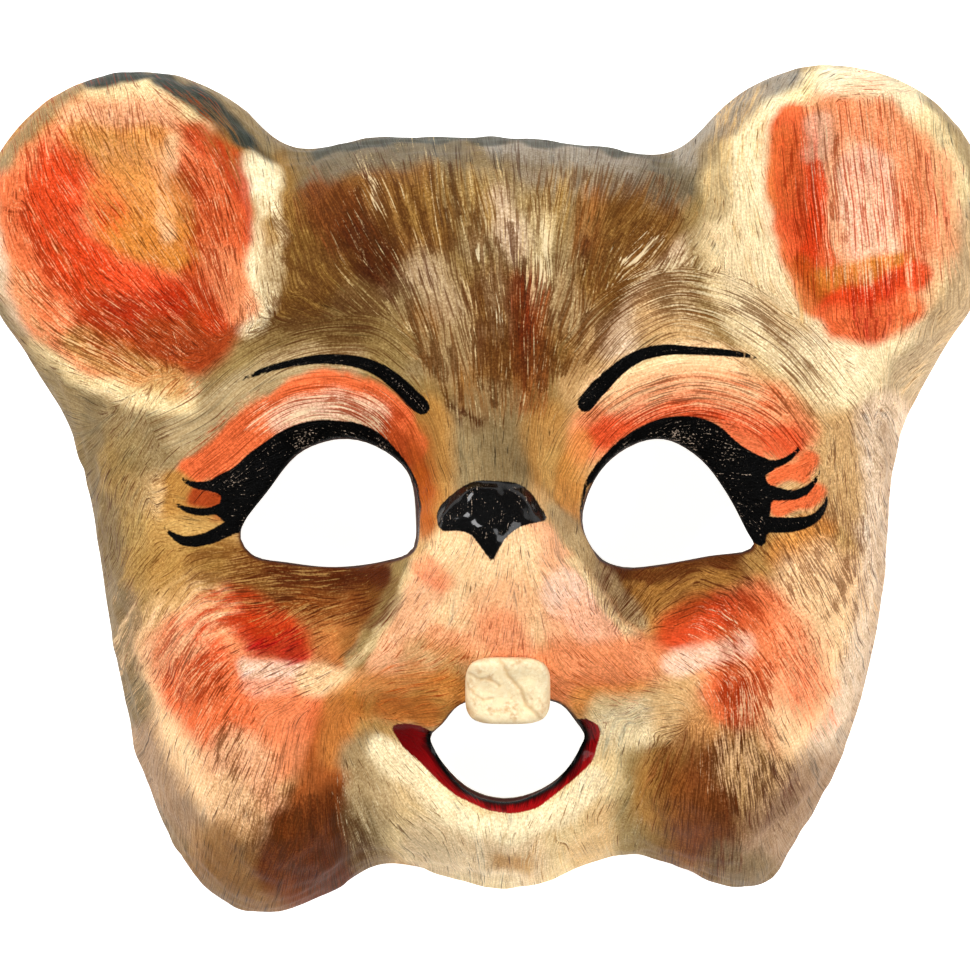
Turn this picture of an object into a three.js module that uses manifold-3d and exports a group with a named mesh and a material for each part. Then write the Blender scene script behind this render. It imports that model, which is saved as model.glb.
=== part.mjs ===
// A mouse mask of painted papier-mache, pulled from one open mould.
// Millimetres. The mask lies face up on its cut rim: +Z leaves the face, +Y points to the forehead,
// +X to the right of someone who looks at it. The origin is on the rim plane, at the middle of the outline.
// Everything the mould gives is one height over the rim plane, so nothing is undercut.
import * as THREE from "three";
import { mergeVertices } from "three/addons/utils/BufferGeometryUtils.js";
import Module from "manifold-3d";

// The shell
const FACE_WIDTH = 172; // rim to rim below the ears
const FOREHEAD_RISE = 76; // origin to the top of the rim
const JOWL_DROP = 91; // origin to the lowest jowl
const FACE_DEPTH = 47; // rim plane to the brow
const NOSE_DEPTH = 67; // rim plane to the tip of the nose
const WALL = 2.2;
const FACE_FALL = { side: 0.24, top: 0.1, chin: 0.16 }; // share of its depth that the face loses by each rim
const FACE_ROLL = 21; // how far in from the rim the face turns back
const SOFTEN = 4; // reach over which the ridges between two stretches of the rim are rounded

// The snout
const SNOUT_CREST = 3; // how round the crest itself is
const SNOUT_ROUNDING = 4; // how softly the snout's front turns into its sides
const SNOUT_MERGE = 8; // how softly its sides run out into the face

// The ears, moulded in one with the shell
const EAR_RADIUS = 35;
const EAR_SPREAD = 149.6; // centre to centre
const EAR_RISE = 56; // origin to the ear centres
const EAR_SLANT = 1.4; // how much higher the right ear sits than the left
const EAR_DEPTH = 24; // rim plane to the crest round the dish
const EAR_LEAN = 0.16; // how steeply the crest climbs towards the face
const EAR_ROLL = 9;
const EAR_FILLET = 11; // width of the blend in outline between an ear and the forehead
const EAR_WEB = 30; // and between an ear and the side of the face
const EAR_MERGE = 16; // half the width of the blend between their heights
const DISH_DEPTH = 11;

// The openings
const EYE_WIDTH = 37.4;
const EYE_HEIGHT = 27.4;
const EYE_SPREAD = 69.1; // centre to centre
const EYE_DROP = 4; // origin to the middle of the eyes
const EYE_SHIFT = 2.7; // the features sit a little to the right of the middle
const MOUTH_WIDTH = 33.1;
const MOUTH_HEIGHT = 21;
const MOUTH_DROP = 55; // origin to the middle of the mouth
const MOUTH_SHIFT = 4.7;

// The front teeth, glued on over the upper lip
const TOOTH_WIDTH = 18; // both teeth together
const TOOTH_LENGTH = 14.2;
const TOOTH_THICK = 3.6;
const TOOTH_OVERHANG = 5.1; // how far they hang down over the mouth
const TOOTH_GROOVE = 0.9; // depth of the groove between the two
const TOOTH_GROOVE_SHARE = 0.09; // its width, as a share of theirs
const TOOTH_CORNER = 0.3; // how much their corners are rounded off, 0 for square
const TOOTH_EDGE = 0.33; // share of their half width over which the front rounds down
const TOOTH_THIN = 0.35; // share of their thickness left at the edge
const TOOTH_HANGS_FROM = 0.05; // share of their length over the middle where the front leaves the lip's slope
const GLUE_GAP = 0.3;

// Mesh fineness
const SKIRT = 1; // how far the untrimmed front reaches below the rim plane
const HALVINGS = 40; // steps of the search for the outline
const SLOPE_STEP = 0.05; // distance over which a slope is measured
const OUTER_RAYS = 150;
const OUTER_RINGS = 22;
const INNER_RAYS = 104;
const INNER_RINGS = 16;
const RIM_CROWDING = 0.5; // 0 spaces the rings evenly, 1 crowds them at the rim
const CURVE_POINTS = 5; // points on a drawn curve for each row of its table
const TOOTH_STEPS = 12;
const SOFTEN_POINTS = 6;

const HALF_FACE = FACE_WIDTH / 2;
const PLACES = {
  face: { x: 0, y: 0, size: HALF_FACE },
  leftEye: { x: EYE_SHIFT - EYE_SPREAD / 2, y: -EYE_DROP, size: EYE_WIDTH / 2 },
  rightEye: { x: EYE_SHIFT + EYE_SPREAD / 2, y: -EYE_DROP, size: EYE_WIDTH / 2 },
  mouth: { x: MOUTH_SHIFT, y: -MOUTH_DROP, size: MOUTH_WIDTH / 2 },
};

// The rim of the face without its ears. across is a share of half the face's width,
// up of the forehead's rise and down of the jowls' drop. roll is a share of the face's roll.
const RIM = [
  { across: 0.0, up: 1.0, roll: 0.7 },
  { across: -0.37, up: 0.983, roll: 0.7 },
  { across: -0.55, up: 0.9, roll: 0.75 },
  { across: -0.72, up: 0.7, roll: 0.8 },
  { across: -0.93, up: 0.34, roll: 0.9 },
  { across: -0.99, up: 0.08, roll: 0.9 },
  { across: -0.96, down: 0.22, roll: 0.95 },
  { across: -0.922, down: 0.43, roll: 1.0 },
  { across: -0.864, down: 0.65, roll: 1.0 },
  { across: -0.796, down: 0.82, roll: 1.0 },
  { across: -0.686, down: 0.957, roll: 1.0 },
  { across: -0.545, down: 1.004, roll: 0.95 },
  { across: -0.4, down: 0.96, roll: 0.85 },
  { across: -0.27, down: 0.892, roll: 0.75 },
  { across: -0.17, down: 0.897, roll: 0.7 },
  { across: 0.0, down: 0.941, roll: 0.7 },
  { across: 0.13, down: 0.939, roll: 0.7 },
  { across: 0.25, down: 0.892, roll: 0.7 },
  { across: 0.36, down: 0.865, roll: 0.75 },
  { across: 0.47, down: 0.89, roll: 0.85 },
  { across: 0.6, down: 0.938, roll: 0.95 },
  { across: 0.7, down: 0.935, roll: 1.0 },
  { across: 0.788, down: 0.82, roll: 1.0 },
  { across: 0.9, down: 0.62, roll: 1.0 },
  { across: 0.967, down: 0.41, roll: 1.0 },
  { across: 1.003, down: 0.2, roll: 0.95 },
  { across: 1.01, up: 0.06, roll: 0.9 },
  { across: 0.95, up: 0.34, roll: 0.9 },
  { across: 0.74, up: 0.7, roll: 0.8 },
  { across: 0.6, up: 0.87, roll: 0.75 },
  { across: 0.42, up: 0.945, roll: 0.7 },
  { across: 0.24, up: 0.98, roll: 0.7 },
];

// Rounded swellings and hollows, measured from a place of the face. across, up, wide and tall are shares of that
// place's size, rise is a share of the face's depth, and turn is in degrees.
const RELIEFS = [
  { name: "left cheek", at: "face", across: -0.56, up: -0.44, wide: 0.28, tall: 0.24, turn: 20, rise: 0.2 },
  { name: "right cheek", at: "face", across: 0.64, up: -0.42, wide: 0.28, tall: 0.24, turn: -20, rise: 0.2 },
  { name: "left jowl", at: "face", across: -0.54, up: -0.8, wide: 0.22, tall: 0.2, turn: -20, rise: 0.12 },
  { name: "right jowl", at: "face", across: 0.62, up: -0.76, wide: 0.22, tall: 0.2, turn: 20, rise: 0.12 },
  { name: "left crease", at: "face", across: -0.29, up: -0.82, wide: 0.1, tall: 0.3, turn: -6, rise: -0.24 },
  { name: "right crease", at: "face", across: 0.36, up: -0.8, wide: 0.1, tall: 0.28, turn: 8, rise: -0.22 },
  { name: "forehead", at: "face", across: 0.02, up: 0.6, wide: 0.5, tall: 0.3, turn: 0, rise: 0.06 },
  { name: "left temple", at: "face", across: -0.64, up: 0.36, wide: 0.22, tall: 0.28, turn: 30, rise: -0.08 },
  { name: "right temple", at: "face", across: 0.68, up: 0.38, wide: 0.22, tall: 0.28, turn: -30, rise: -0.08 },
  { name: "left socket", at: "leftEye", across: -0.04, up: -0.06, wide: 1.24, tall: 0.92, turn: 10, rise: -0.17 },
  { name: "right socket", at: "rightEye", across: 0.03, up: -0.06, wide: 1.24, tall: 0.92, turn: -10, rise: -0.17 },
  { name: "left brow", at: "leftEye", across: 0.05, up: 1.6, wide: 1.66, tall: 0.6, turn: 14, rise: 0.06 },
  { name: "right brow", at: "rightEye", across: -0.06, up: 1.68, wide: 1.66, tall: 0.6, turn: -14, rise: 0.06 },
  { name: "mouth hollow", at: "mouth", across: 0, up: -0.11, wide: 1.25, tall: 0.62, turn: 0, rise: -0.14 },
  { name: "chin", at: "mouth", across: -0.08, up: -1.15, wide: 1.14, tall: 0.62, turn: 0, rise: 0.13 },
];

// The snout, a row for each section from the bridge down to the lip. up, middle and half are shares of half
// the face's width, crest is a share of the nose's depth, and flank is the slope of the snout's sides.
const SNOUT = [
  { up: 0.8, middle: 0.02, half: 0.04, crest: 0.5, flank: 0.7 },
  { up: 0.5, middle: 0.02, half: 0.05, crest: 0.62, flank: 0.7 },
  { up: 0.3, middle: 0.02, half: 0.06, crest: 0.7, flank: 0.9 },
  { up: 0.16, middle: 0.015, half: 0.07, crest: 0.79, flank: 1.4 },
  { up: 0.04, middle: 0.01, half: 0.08, crest: 0.92, flank: 1.9 },
  { up: -0.05, middle: 0.01, half: 0.1, crest: 1.0, flank: 2.1 },
  { up: -0.14, middle: 0.015, half: 0.16, crest: 0.99, flank: 2.0 },
  { up: -0.28, middle: 0.025, half: 0.25, crest: 0.92, flank: 1.8 },
  { up: -0.4, middle: 0.035, half: 0.32, crest: 0.85, flank: 1.6 },
  { up: -0.5, middle: 0.045, half: 0.34, crest: 0.76, flank: 1.5 },
  { up: -0.6, middle: 0.05, half: 0.28, crest: 0.6, flank: 1.4 },
  { up: -0.72, middle: 0.05, half: 0.2, crest: 0.42, flank: 1.3 },
];

// Each ear. side is -1 on the left. shift and lift place the dish's middle from the ear's, wide and tall are its
// half sizes, all shares of the ear's radius, and turn is in degrees.
const EARS = [
  { side: -1, shift: -0.05, lift: 0.0, wide: 0.76, tall: 0.93, turn: -12 },
  { side: 1, shift: 0.12, lift: 0.05, wide: 0.66, tall: 0.86, turn: 12 },
];

// The openings. Each outline starts at the eye's inner corner, or at the mouth's left one, and runs over the top.
// across and up are shares of half the width and half the height.
const LEFT_EYE = [
  { across: 0.91, up: -0.14 },
  { across: 0.79, up: 0.62 },
  { across: 0.21, up: 1.07 },
  { across: -0.38, up: 0.89 },
  { across: -0.77, up: 0.28 },
  { across: -1.09, up: -0.39 },
  { across: -0.95, up: -0.72 },
  { across: -0.53, up: -0.84 },
  { across: 0.0, up: -0.91 },
  { across: 0.59, up: -0.8 },
  { across: 0.87, up: -0.64 },
];
const RIGHT_EYE = [
  { across: -0.89, up: -0.22 },
  { across: -0.7, up: 0.55 },
  { across: -0.32, up: 0.98 },
  { across: 0.05, up: 1.07 },
  { across: 0.45, up: 0.77 },
  { across: 0.74, up: 0.27 },
  { across: 0.97, up: -0.32 },
  { across: 1.06, up: -0.6 },
  { across: 0.54, up: -0.74 },
  { across: 0.0, up: -0.87 },
  { across: -0.42, up: -0.91 },
  { across: -0.7, up: -0.75 },
];
const MOUTH = [
  { across: -1.0, up: 0.2 },
  { across: -0.83, up: 0.5 },
  { across: -0.6, up: 0.9 },
  { across: 0.0, up: 1.0 },
  { across: 0.65, up: 0.92 },
  { across: 0.87, up: 0.55 },
  { across: 1.0, up: 0.2 },
  { across: 0.93, up: -0.08 },
  { across: 0.64, up: -0.62 },
  { across: 0.27, up: -0.93 },
  { across: -0.12, up: -1.0 },
  { across: -0.5, up: -0.8 },
  { across: -0.82, up: -0.33 },
];

const clamp = THREE.MathUtils.clamp;
const lerp = THREE.MathUtils.lerp;
const smoothstep = THREE.MathUtils.smoothstep;

// The larger of two values, rounded where they come within reach of each other.
function softMax(a, b, reach) {
  const h = clamp(0.5 + (0.5 * (b - a)) / reach, 0, 1);
  return lerp(a, b, h) + reach * h * (1 - h);
}

// 0 below zero and the value itself above it, rounded over about the given distance.
function softRamp(value, rounding) {
  return (value + Math.hypot(value, rounding)) / 2;
}

// Points of a smooth closed curve through a table's rows.
function closedCurve(rows, place) {
  const points = rows.map((row) => new THREE.Vector3(...place(row), 0));
  const curve = new THREE.CatmullRomCurve3(points, true, "centripetal");
  return curve.getPoints(rows.length * CURVE_POINTS).slice(0, -1);
}

const rimPoints = closedCurve(RIM, (row) => [
  row.across * HALF_FACE,
  row.up === undefined ? -row.down * JOWL_DROP : row.up * FOREHEAD_RISE,
]);
const rimRolls = rimPoints.map((_, i) => {
  const at = i / CURVE_POINTS;
  const row = Math.floor(at);
  return FACE_ROLL * lerp(RIM[row].roll, RIM[(row + 1) % RIM.length].roll, at - row);
});

// How far a point lies inside the face's own rim, negative outside it, and the roll of the nearest stretch.
function insideFace(x, y) {
  let nearest = Infinity;
  let roll = FACE_ROLL;
  let inside = false;
  for (let i = 0, j = rimPoints.length - 1; i < rimPoints.length; j = i, i += 1) {
    const a = rimPoints[j];
    const b = rimPoints[i];
    const along = { x: b.x - a.x, y: b.y - a.y };
    const reach = ((x - a.x) * along.x + (y - a.y) * along.y) / (along.x ** 2 + along.y ** 2);
    const share = clamp(reach, 0, 1);
    const gap = Math.hypot(x - a.x - share * along.x, y - a.y - share * along.y);
    if (gap < nearest) {
      nearest = gap;
      roll = lerp(rimRolls[j], rimRolls[i], share);
    }
    if (a.y > y !== b.y > y && x < a.x + ((y - a.y) * along.x) / along.y) inside = !inside;
  }
  return { inset: inside ? nearest : -nearest, roll };
}

function earCentre(ear) {
  return { x: (ear.side * EAR_SPREAD) / 2, y: EAR_RISE + (ear.side * EAR_SLANT) / 2 };
}

function insideEar(ear, x, y) {
  const centre = earCentre(ear);
  return EAR_RADIUS - Math.hypot(x - centre.x, y - centre.y);
}

// How far a point lies inside the face's rim, averaged over its surroundings. On the rim itself it stays exact.
function insideFaceSoftly(x, y) {
  const exact = insideFace(x, y);
  const reach = Math.min(exact.inset / 2, SOFTEN);
  if (reach <= 0) return exact;
  let sum = exact.inset;
  for (let i = 0; i < SOFTEN_POINTS; i += 1) {
    const turn = (i / SOFTEN_POINTS) * 2 * Math.PI;
    sum += insideFace(x + reach * Math.cos(turn), y + reach * Math.sin(turn)).inset;
  }
  return { inset: sum / (SOFTEN_POINTS + 1), roll: exact.roll };
}

// How far a point lies inside the whole outline, and how much of an ear it is, from 0 to 1.
function insideOutline(x, y) {
  const face = insideFaceSoftly(x, y);
  const ear = EARS[x < 0 ? 0 : 1];
  const earInset = insideEar(ear, x, y);
  const earShare = smoothstep(earInset - face.inset, -EAR_MERGE, EAR_MERGE);
  const fillet = lerp(EAR_WEB, EAR_FILLET, smoothstep(y, EAR_RISE - EAR_RADIUS, EAR_RISE));
  return {
    inset: softMax(face.inset, earInset, fillet),
    roll: lerp(face.roll, EAR_ROLL, earShare),
    ear,
    earShare,
  };
}

// A table's column at a height, on a smooth curve through its rows.
function column(rows, name, up) {
  const last = rows.length - 1;
  if (up >= rows[0].up) return rows[0][name];
  if (up <= rows[last].up) return rows[last][name];
  const below = rows.findIndex((row) => row.up < up);
  const above = below - 1;
  const slopeAt = (row) => {
    const [a, b] = [rows[Math.max(row - 1, 0)], rows[Math.min(row + 1, last)]];
    return (b[name] - a[name]) / (b.up - a.up);
  };
  const run = rows[below].up - rows[above].up;
  const t = (up - rows[above].up) / run;
  const [start, end] = [rows[above][name], rows[below][name]];
  const [leave, arrive] = [slopeAt(above) * run, slopeAt(below) * run];
  const bend = 3 * (end - start) - 2 * leave - arrive;
  const twist = leave + arrive - 2 * (end - start);
  return start + t * (leave + t * (bend + t * twist));
}

function relief(row, x, y) {
  const place = PLACES[row.at];
  const turn = THREE.MathUtils.degToRad(row.turn);
  const dx = (x - place.x) / place.size - row.across;
  const dy = (y - place.y) / place.size - row.up;
  const along = (dx * Math.cos(turn) + dy * Math.sin(turn)) / row.wide;
  const across = (dy * Math.cos(turn) - dx * Math.sin(turn)) / row.tall;
  return row.rise * FACE_DEPTH * Math.exp(-(along ** 2) - across ** 2);
}

function snoutHeight(x, y) {
  const up = y / HALF_FACE;
  const read = (name) => column(SNOUT, name, up);
  const aside = Math.hypot(x - read("middle") * HALF_FACE, SNOUT_CREST);
  const beyond = aside - read("half") * HALF_FACE;
  return read("crest") * NOSE_DEPTH - read("flank") * softRamp(beyond, SNOUT_ROUNDING);
}

function faceHeight(x, y) {
  const side = FACE_FALL.side * (x / HALF_FACE) ** 2;
  const end = y > 0 ? FACE_FALL.top * (y / FOREHEAD_RISE) ** 2 : FACE_FALL.chin * (y / JOWL_DROP) ** 2;
  const swellings = RELIEFS.reduce((sum, row) => sum + relief(row, x, y), 0);
  return softMax(FACE_DEPTH * (1 - side - end) + swellings, snoutHeight(x, y), SNOUT_MERGE);
}

function dishDepth(ear, x, y) {
  const centre = earCentre(ear);
  const turn = THREE.MathUtils.degToRad(ear.turn);
  const dx = (x - centre.x) / EAR_RADIUS - ear.shift;
  const dy = (y - centre.y) / EAR_RADIUS - ear.lift;
  const along = (dx * Math.cos(turn) + dy * Math.sin(turn)) / ear.wide;
  const across = (dy * Math.cos(turn) - dx * Math.sin(turn)) / ear.tall;
  return DISH_DEPTH * (1 - smoothstep(Math.hypot(along, across), 0, 1));
}

// The height of the mask's front over the rim plane.
function height(x, y) {
  const { inset, roll, ear, earShare } = insideOutline(x, y);
  if (inset <= 0) return 0;
  const centre = earCentre(ear);
  const inward = (centre.x - x) * ear.side;
  const earHeight = EAR_DEPTH + EAR_LEAN * inward;
  const form = lerp(faceHeight(x, y), earHeight, earShare) - dishDepth(ear, x, y);
  const rolled = 1 - Math.min(inset / roll, 1);
  return form * Math.sqrt(1 - rolled ** 2);
}

// How far the outline reaches from the origin at an angle.
function reachAt(turn) {
  let near = 0;
  let far = FACE_WIDTH;
  for (let step = 0; step < HALVINGS; step += 1) {
    const middle = (near + far) / 2;
    if (insideOutline(middle * Math.cos(turn), middle * Math.sin(turn)).inset > 0) near = middle;
    else far = middle;
  }
  return near;
}

// A point on the mask's front, and its normal. share runs from 0 at the origin to 1 on the rim.
function frontPoint(turn, reach, share) {
  const x = share * reach * Math.cos(turn);
  const y = share * reach * Math.sin(turn);
  return new THREE.Vector3(x, y, share === 1 ? 0 : height(x, y));
}

function frontNormal(point) {
  const dx = height(point.x + SLOPE_STEP, point.y) - height(point.x - SLOPE_STEP, point.y);
  const dy = height(point.x, point.y + SLOPE_STEP) - height(point.x, point.y - SLOPE_STEP);
  return new THREE.Vector3(-dx, -dy, 2 * SLOPE_STEP).normalize();
}

// A closed dome: rings of points round a crown point, closed by a flat bottom below the last ring.
function domeGeometry(rays, rings, bottom, pointAt) {
  const positions = [...pointAt(0, 0).toArray()];
  for (let ring = 1; ring <= rings + 1; ring += 1) {
    for (let ray = 0; ray < rays; ray += 1) {
      const point = pointAt(ray, Math.min(ring, rings));
      positions.push(point.x, point.y, ring > rings ? bottom : point.z);
    }
  }
  const centre = positions.length / 3;
  positions.push(0, 0, bottom);
  const faces = [];
  const at = (ring, ray) => 1 + (ring - 1) * rays + (ray % rays);
  const span = (a, b) => Math.hypot(...[0, 1, 2].map((axis) => positions[3 * a + axis] - positions[3 * b + axis]));
  for (let ray = 0; ray < rays; ray += 1) {
    faces.push(0, at(1, ray), at(1, ray + 1));
    for (let ring = 1; ring <= rings; ring += 1) {
      const [a, b] = [at(ring, ray), at(ring + 1, ray)];
      const [c, d] = [at(ring + 1, ray + 1), at(ring, ray + 1)];
      // The shorter diagonal keeps a crease between two rays from turning into steps.
      if (span(a, c) < span(b, d)) faces.push(a, b, c, a, c, d);
      else faces.push(a, b, d, b, c, d);
    }
    faces.push(centre, at(rings + 1, ray + 1), at(rings + 1, ray));
  }
  const geometry = new THREE.BufferGeometry();
  geometry.setAttribute("position", new THREE.Float32BufferAttribute(positions, 3));
  geometry.setIndex(faces);
  return geometry;
}

// The mask's front as a closed dome, or its inside when it is set back by the wall.
function shellDome(rays, rings, setBack) {
  const points = [];
  for (let ray = 0; ray < rays; ray += 1) {
    const turn = (ray / rays) * 2 * Math.PI;
    const reach = reachAt(turn);
    const line = [];
    for (let ring = 0; ring <= rings; ring += 1) {
      const even = ring / rings;
      const share = lerp(even, Math.sin((even * Math.PI) / 2), RIM_CROWDING);
      const point = frontPoint(turn, reach, ring === rings ? 1 : share);
      if (setBack > 0) {
        const normal = frontNormal(point);
        if (ring === rings) normal.setZ(0).normalize();
        point.addScaledVector(normal, -setBack);
      }
      line.push(point);
    }
    points.push(line);
  }
  const bottom = setBack > 0 ? -setBack - SKIRT : -SKIRT;
  return domeGeometry(rays, rings, bottom, (ray, ring) => points[ray][ring]);
}

// A block with the outline of an opening, long enough to pass through the whole shell.
function cutter(rows, place, width, tall) {
  const outline = closedCurve(rows, (row) => [
    place.x + (row.across * width) / 2,
    place.y + (row.up * tall) / 2,
  ]);
  const shape = new THREE.Shape(outline.map((p) => new THREE.Vector2(p.x, p.y)));
  const geometry = new THREE.ExtrudeGeometry(shape, { depth: 2 * NOSE_DEPTH, bevelEnabled: false });
  return geometry.translate(0, 0, -SKIRT);
}

// The teeth: a rounded slab with a groove down its middle. Its back follows the lip it is glued to as far as
// the mouth, and its front hangs straight down.
function teethGeometry() {
  const steps = TOOTH_STEPS;
  const mouthTop = PLACES.mouth.y + MOUTH_HEIGHT / 2;
  const middle = mouthTop - TOOTH_OVERHANG + TOOTH_LENGTH / 2;
  const hangsFrom = middle + TOOTH_LENGTH * TOOTH_HANGS_FROM;
  const sample = (i, j, lift) => {
    const u = (2 * i) / steps - 1;
    const v = (2 * j) / steps - 1;
    const x = PLACES.mouth.x + (TOOTH_WIDTH / 2) * u * Math.sqrt(1 - TOOTH_CORNER * v ** 4);
    const y = middle + (TOOTH_LENGTH / 2) * v * Math.sqrt(1 - TOOTH_CORNER * u ** 4);
    const edge = Math.min(1 - Math.abs(u), 1 - Math.abs(v)) / TOOTH_EDGE;
    const pillow = Math.sqrt(1 - (1 - Math.min(edge, 1)) ** 2);
    const groove = TOOTH_GROOVE * Math.exp(-((u / TOOTH_GROOVE_SHARE) ** 2));
    const thick = TOOTH_THICK * lerp(TOOTH_THIN, 1, pillow) - groove * pillow;
    const back = height(x, Math.max(y, mouthTop)) + GLUE_GAP;
    const front = height(x, Math.max(y, hangsFrom)) + GLUE_GAP + thick;
    return new THREE.Vector3(x, y, lerp(back, front, lift));
  };
  const positions = [];
  const grid = (i, j, lift) => lift * (steps + 1) ** 2 + j * (steps + 1) + i;
  for (let lift = 0; lift <= 1; lift += 1) {
    for (let j = 0; j <= steps; j += 1) {
      for (let i = 0; i <= steps; i += 1) positions.push(...sample(i, j, lift).toArray());
    }
  }
  const faces = [];
  const quad = (a, b, c, d) => faces.push(a, b, c, a, c, d);
  for (let j = 0; j < steps; j += 1) {
    for (let i = 0; i < steps; i += 1) {
      quad(grid(i, j, 1), grid(i + 1, j, 1), grid(i + 1, j + 1, 1), grid(i, j + 1, 1));
      quad(grid(i, j, 0), grid(i, j + 1, 0), grid(i + 1, j + 1, 0), grid(i + 1, j, 0));
    }
    quad(grid(j, 0, 0), grid(j + 1, 0, 0), grid(j + 1, 0, 1), grid(j, 0, 1));
    quad(grid(j + 1, steps, 0), grid(j, steps, 0), grid(j, steps, 1), grid(j + 1, steps, 1));
    quad(grid(0, j + 1, 0), grid(0, j, 0), grid(0, j, 1), grid(0, j + 1, 1));
    quad(grid(steps, j, 0), grid(steps, j + 1, 0), grid(steps, j + 1, 1), grid(steps, j, 1));
  }
  const geometry = new THREE.BufferGeometry();
  geometry.setAttribute("position", new THREE.Float32BufferAttribute(positions, 3));
  geometry.setIndex(faces);
  return geometry;
}

const wasm = await Module();
wasm.setup();

function solidFrom(geometry) {
  const bare = geometry.clone();
  bare.deleteAttribute("normal");
  bare.deleteAttribute("uv");
  const merged = mergeVertices(bare, 1e-4);
  const vertProperties = merged.attributes.position.array;
  const triVerts = new Uint32Array(merged.index.array);
  return new wasm.Manifold(new wasm.Mesh({ numProp: 3, vertProperties, triVerts }));
}

function geometryFrom(solid) {
  const mesh = solid.getMesh();
  const geometry = new THREE.BufferGeometry();
  geometry.setAttribute("position", new THREE.BufferAttribute(mesh.vertProperties, 3));
  geometry.setIndex(new THREE.BufferAttribute(mesh.triVerts, 1));
  geometry.computeVertexNormals();
  return geometry;
}

// Everything of a solid over the rim plane.
function overRimPlane(solid) {
  const block = new THREE.BoxGeometry(4 * FACE_WIDTH, 4 * FACE_WIDTH, 4 * NOSE_DEPTH);
  return solid.intersect(solidFrom(block.translate(0, 0, 2 * NOSE_DEPTH)));
}

function shellSolid() {
  const outside = solidFrom(shellDome(OUTER_RAYS, OUTER_RINGS, 0));
  const inside = solidFrom(shellDome(INNER_RAYS, INNER_RINGS, WALL));
  const eyes = [
    cutter(LEFT_EYE, PLACES.leftEye, EYE_WIDTH, EYE_HEIGHT),
    cutter(RIGHT_EYE, PLACES.rightEye, EYE_WIDTH, EYE_HEIGHT),
  ];
  const mouth = cutter(MOUTH, PLACES.mouth, MOUTH_WIDTH, MOUTH_HEIGHT);
  return [...eyes, mouth].reduce(
    (shell, hole) => shell.subtract(solidFrom(hole)),
    overRimPlane(outside).subtract(inside),
  );
}

const paint = new THREE.MeshStandardMaterial({ color: 0xb08a62, roughness: 0.45, metalness: 0 });
const toothPaint = new THREE.MeshStandardMaterial({ color: 0xe3d3a6, roughness: 0.5, metalness: 0 });

const shell = new THREE.Mesh(geometryFrom(shellSolid()), paint);
shell.name = "mask_shell";
const teeth = new THREE.Mesh(teethGeometry(), toothPaint);
teeth.name = "front_teeth";

const mask = new THREE.Group();
mask.add(shell, teeth);
const middle = new THREE.Box3().setFromObject(shell).getCenter(new THREE.Vector3());
shell.position.set(-middle.x, -middle.y, 0);
teeth.position.copy(shell.position);

export default mask;
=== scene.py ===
# A hand-painted papier-mache mouse mask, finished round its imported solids.
# Tables hold millimetres: forms are measured on the mask, paint on the rim plane as the camera sees it.
# Meshes are in metres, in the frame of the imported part.
import math

import bpy
import numpy as np
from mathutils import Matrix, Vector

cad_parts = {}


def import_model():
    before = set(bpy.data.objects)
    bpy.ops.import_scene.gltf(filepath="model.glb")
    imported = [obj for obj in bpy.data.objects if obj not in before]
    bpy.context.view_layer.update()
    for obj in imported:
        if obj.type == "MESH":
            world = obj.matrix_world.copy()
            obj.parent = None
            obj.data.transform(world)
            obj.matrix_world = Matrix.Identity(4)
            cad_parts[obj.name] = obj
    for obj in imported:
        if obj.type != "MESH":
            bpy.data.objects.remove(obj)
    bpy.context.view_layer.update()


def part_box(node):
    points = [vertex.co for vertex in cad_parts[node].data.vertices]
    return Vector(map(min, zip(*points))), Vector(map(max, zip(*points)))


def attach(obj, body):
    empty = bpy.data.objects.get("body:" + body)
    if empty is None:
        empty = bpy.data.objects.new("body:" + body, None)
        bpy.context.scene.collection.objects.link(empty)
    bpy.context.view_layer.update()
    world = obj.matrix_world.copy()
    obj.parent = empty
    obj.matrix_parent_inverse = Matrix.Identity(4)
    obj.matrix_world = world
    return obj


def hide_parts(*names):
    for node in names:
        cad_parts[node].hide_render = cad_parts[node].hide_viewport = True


MM = 0.001

# The shell, as the mould gives it
FACE_WIDTH = 172.0
FOREHEAD_RISE = 76.0
JOWL_DROP = 91.0
FACE_DEPTH = 47.0
NOSE_DEPTH = 67.0
WALL = 2.2
FACE_FALL = {"side": 0.24, "top": 0.1, "chin": 0.16}
FACE_ROLL = 21.0
SOFTEN = 4.0
SNOUT_CREST = 3.0
SNOUT_ROUNDING = 4.0
SNOUT_MERGE = 8.0
EAR_RADIUS = 35.0
EAR_SPREAD = 149.6
EAR_RISE = 56.0
EAR_SLANT = 1.4
EAR_DEPTH = 24.0
EAR_LEAN = 0.16
EAR_ROLL = 9.0
EAR_FILLET = 11.0
EAR_WEB = 30.0
EAR_MERGE = 16.0
DISH_DEPTH = 11.0
EYE_WIDTH = 37.4
EYE_HEIGHT = 27.4
EYE_SPREAD = 69.1
EYE_DROP = 4.0
EYE_SHIFT = 2.7
MOUTH_WIDTH = 33.1
MOUTH_HEIGHT = 21.0
MOUTH_DROP = 55.0
MOUTH_SHIFT = 4.7

# The front teeth
TOOTH_WIDTH = 18.0
TOOTH_LENGTH = 14.2
TOOTH_THICK = 3.6
TOOTH_OVERHANG = 5.1
TOOTH_GROOVE = 0.9
TOOTH_GROOVE_SHARE = 0.09
TOOTH_CORNER = 0.3
TOOTH_EDGE = 0.33
TOOTH_THIN = 0.35
TOOTH_HANGS_FROM = 0.05
TOOTH_BEND = 3.0
TOOTH_RISE = 56.0  # the height at which its creases are placed in the camera's view
GROOVE_MIDDLE = 0.15  # how deep the groove is between the creases, as a share of its depth
CREASE_REACH = 6.0
GLUE_GAP = 0.3

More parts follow.
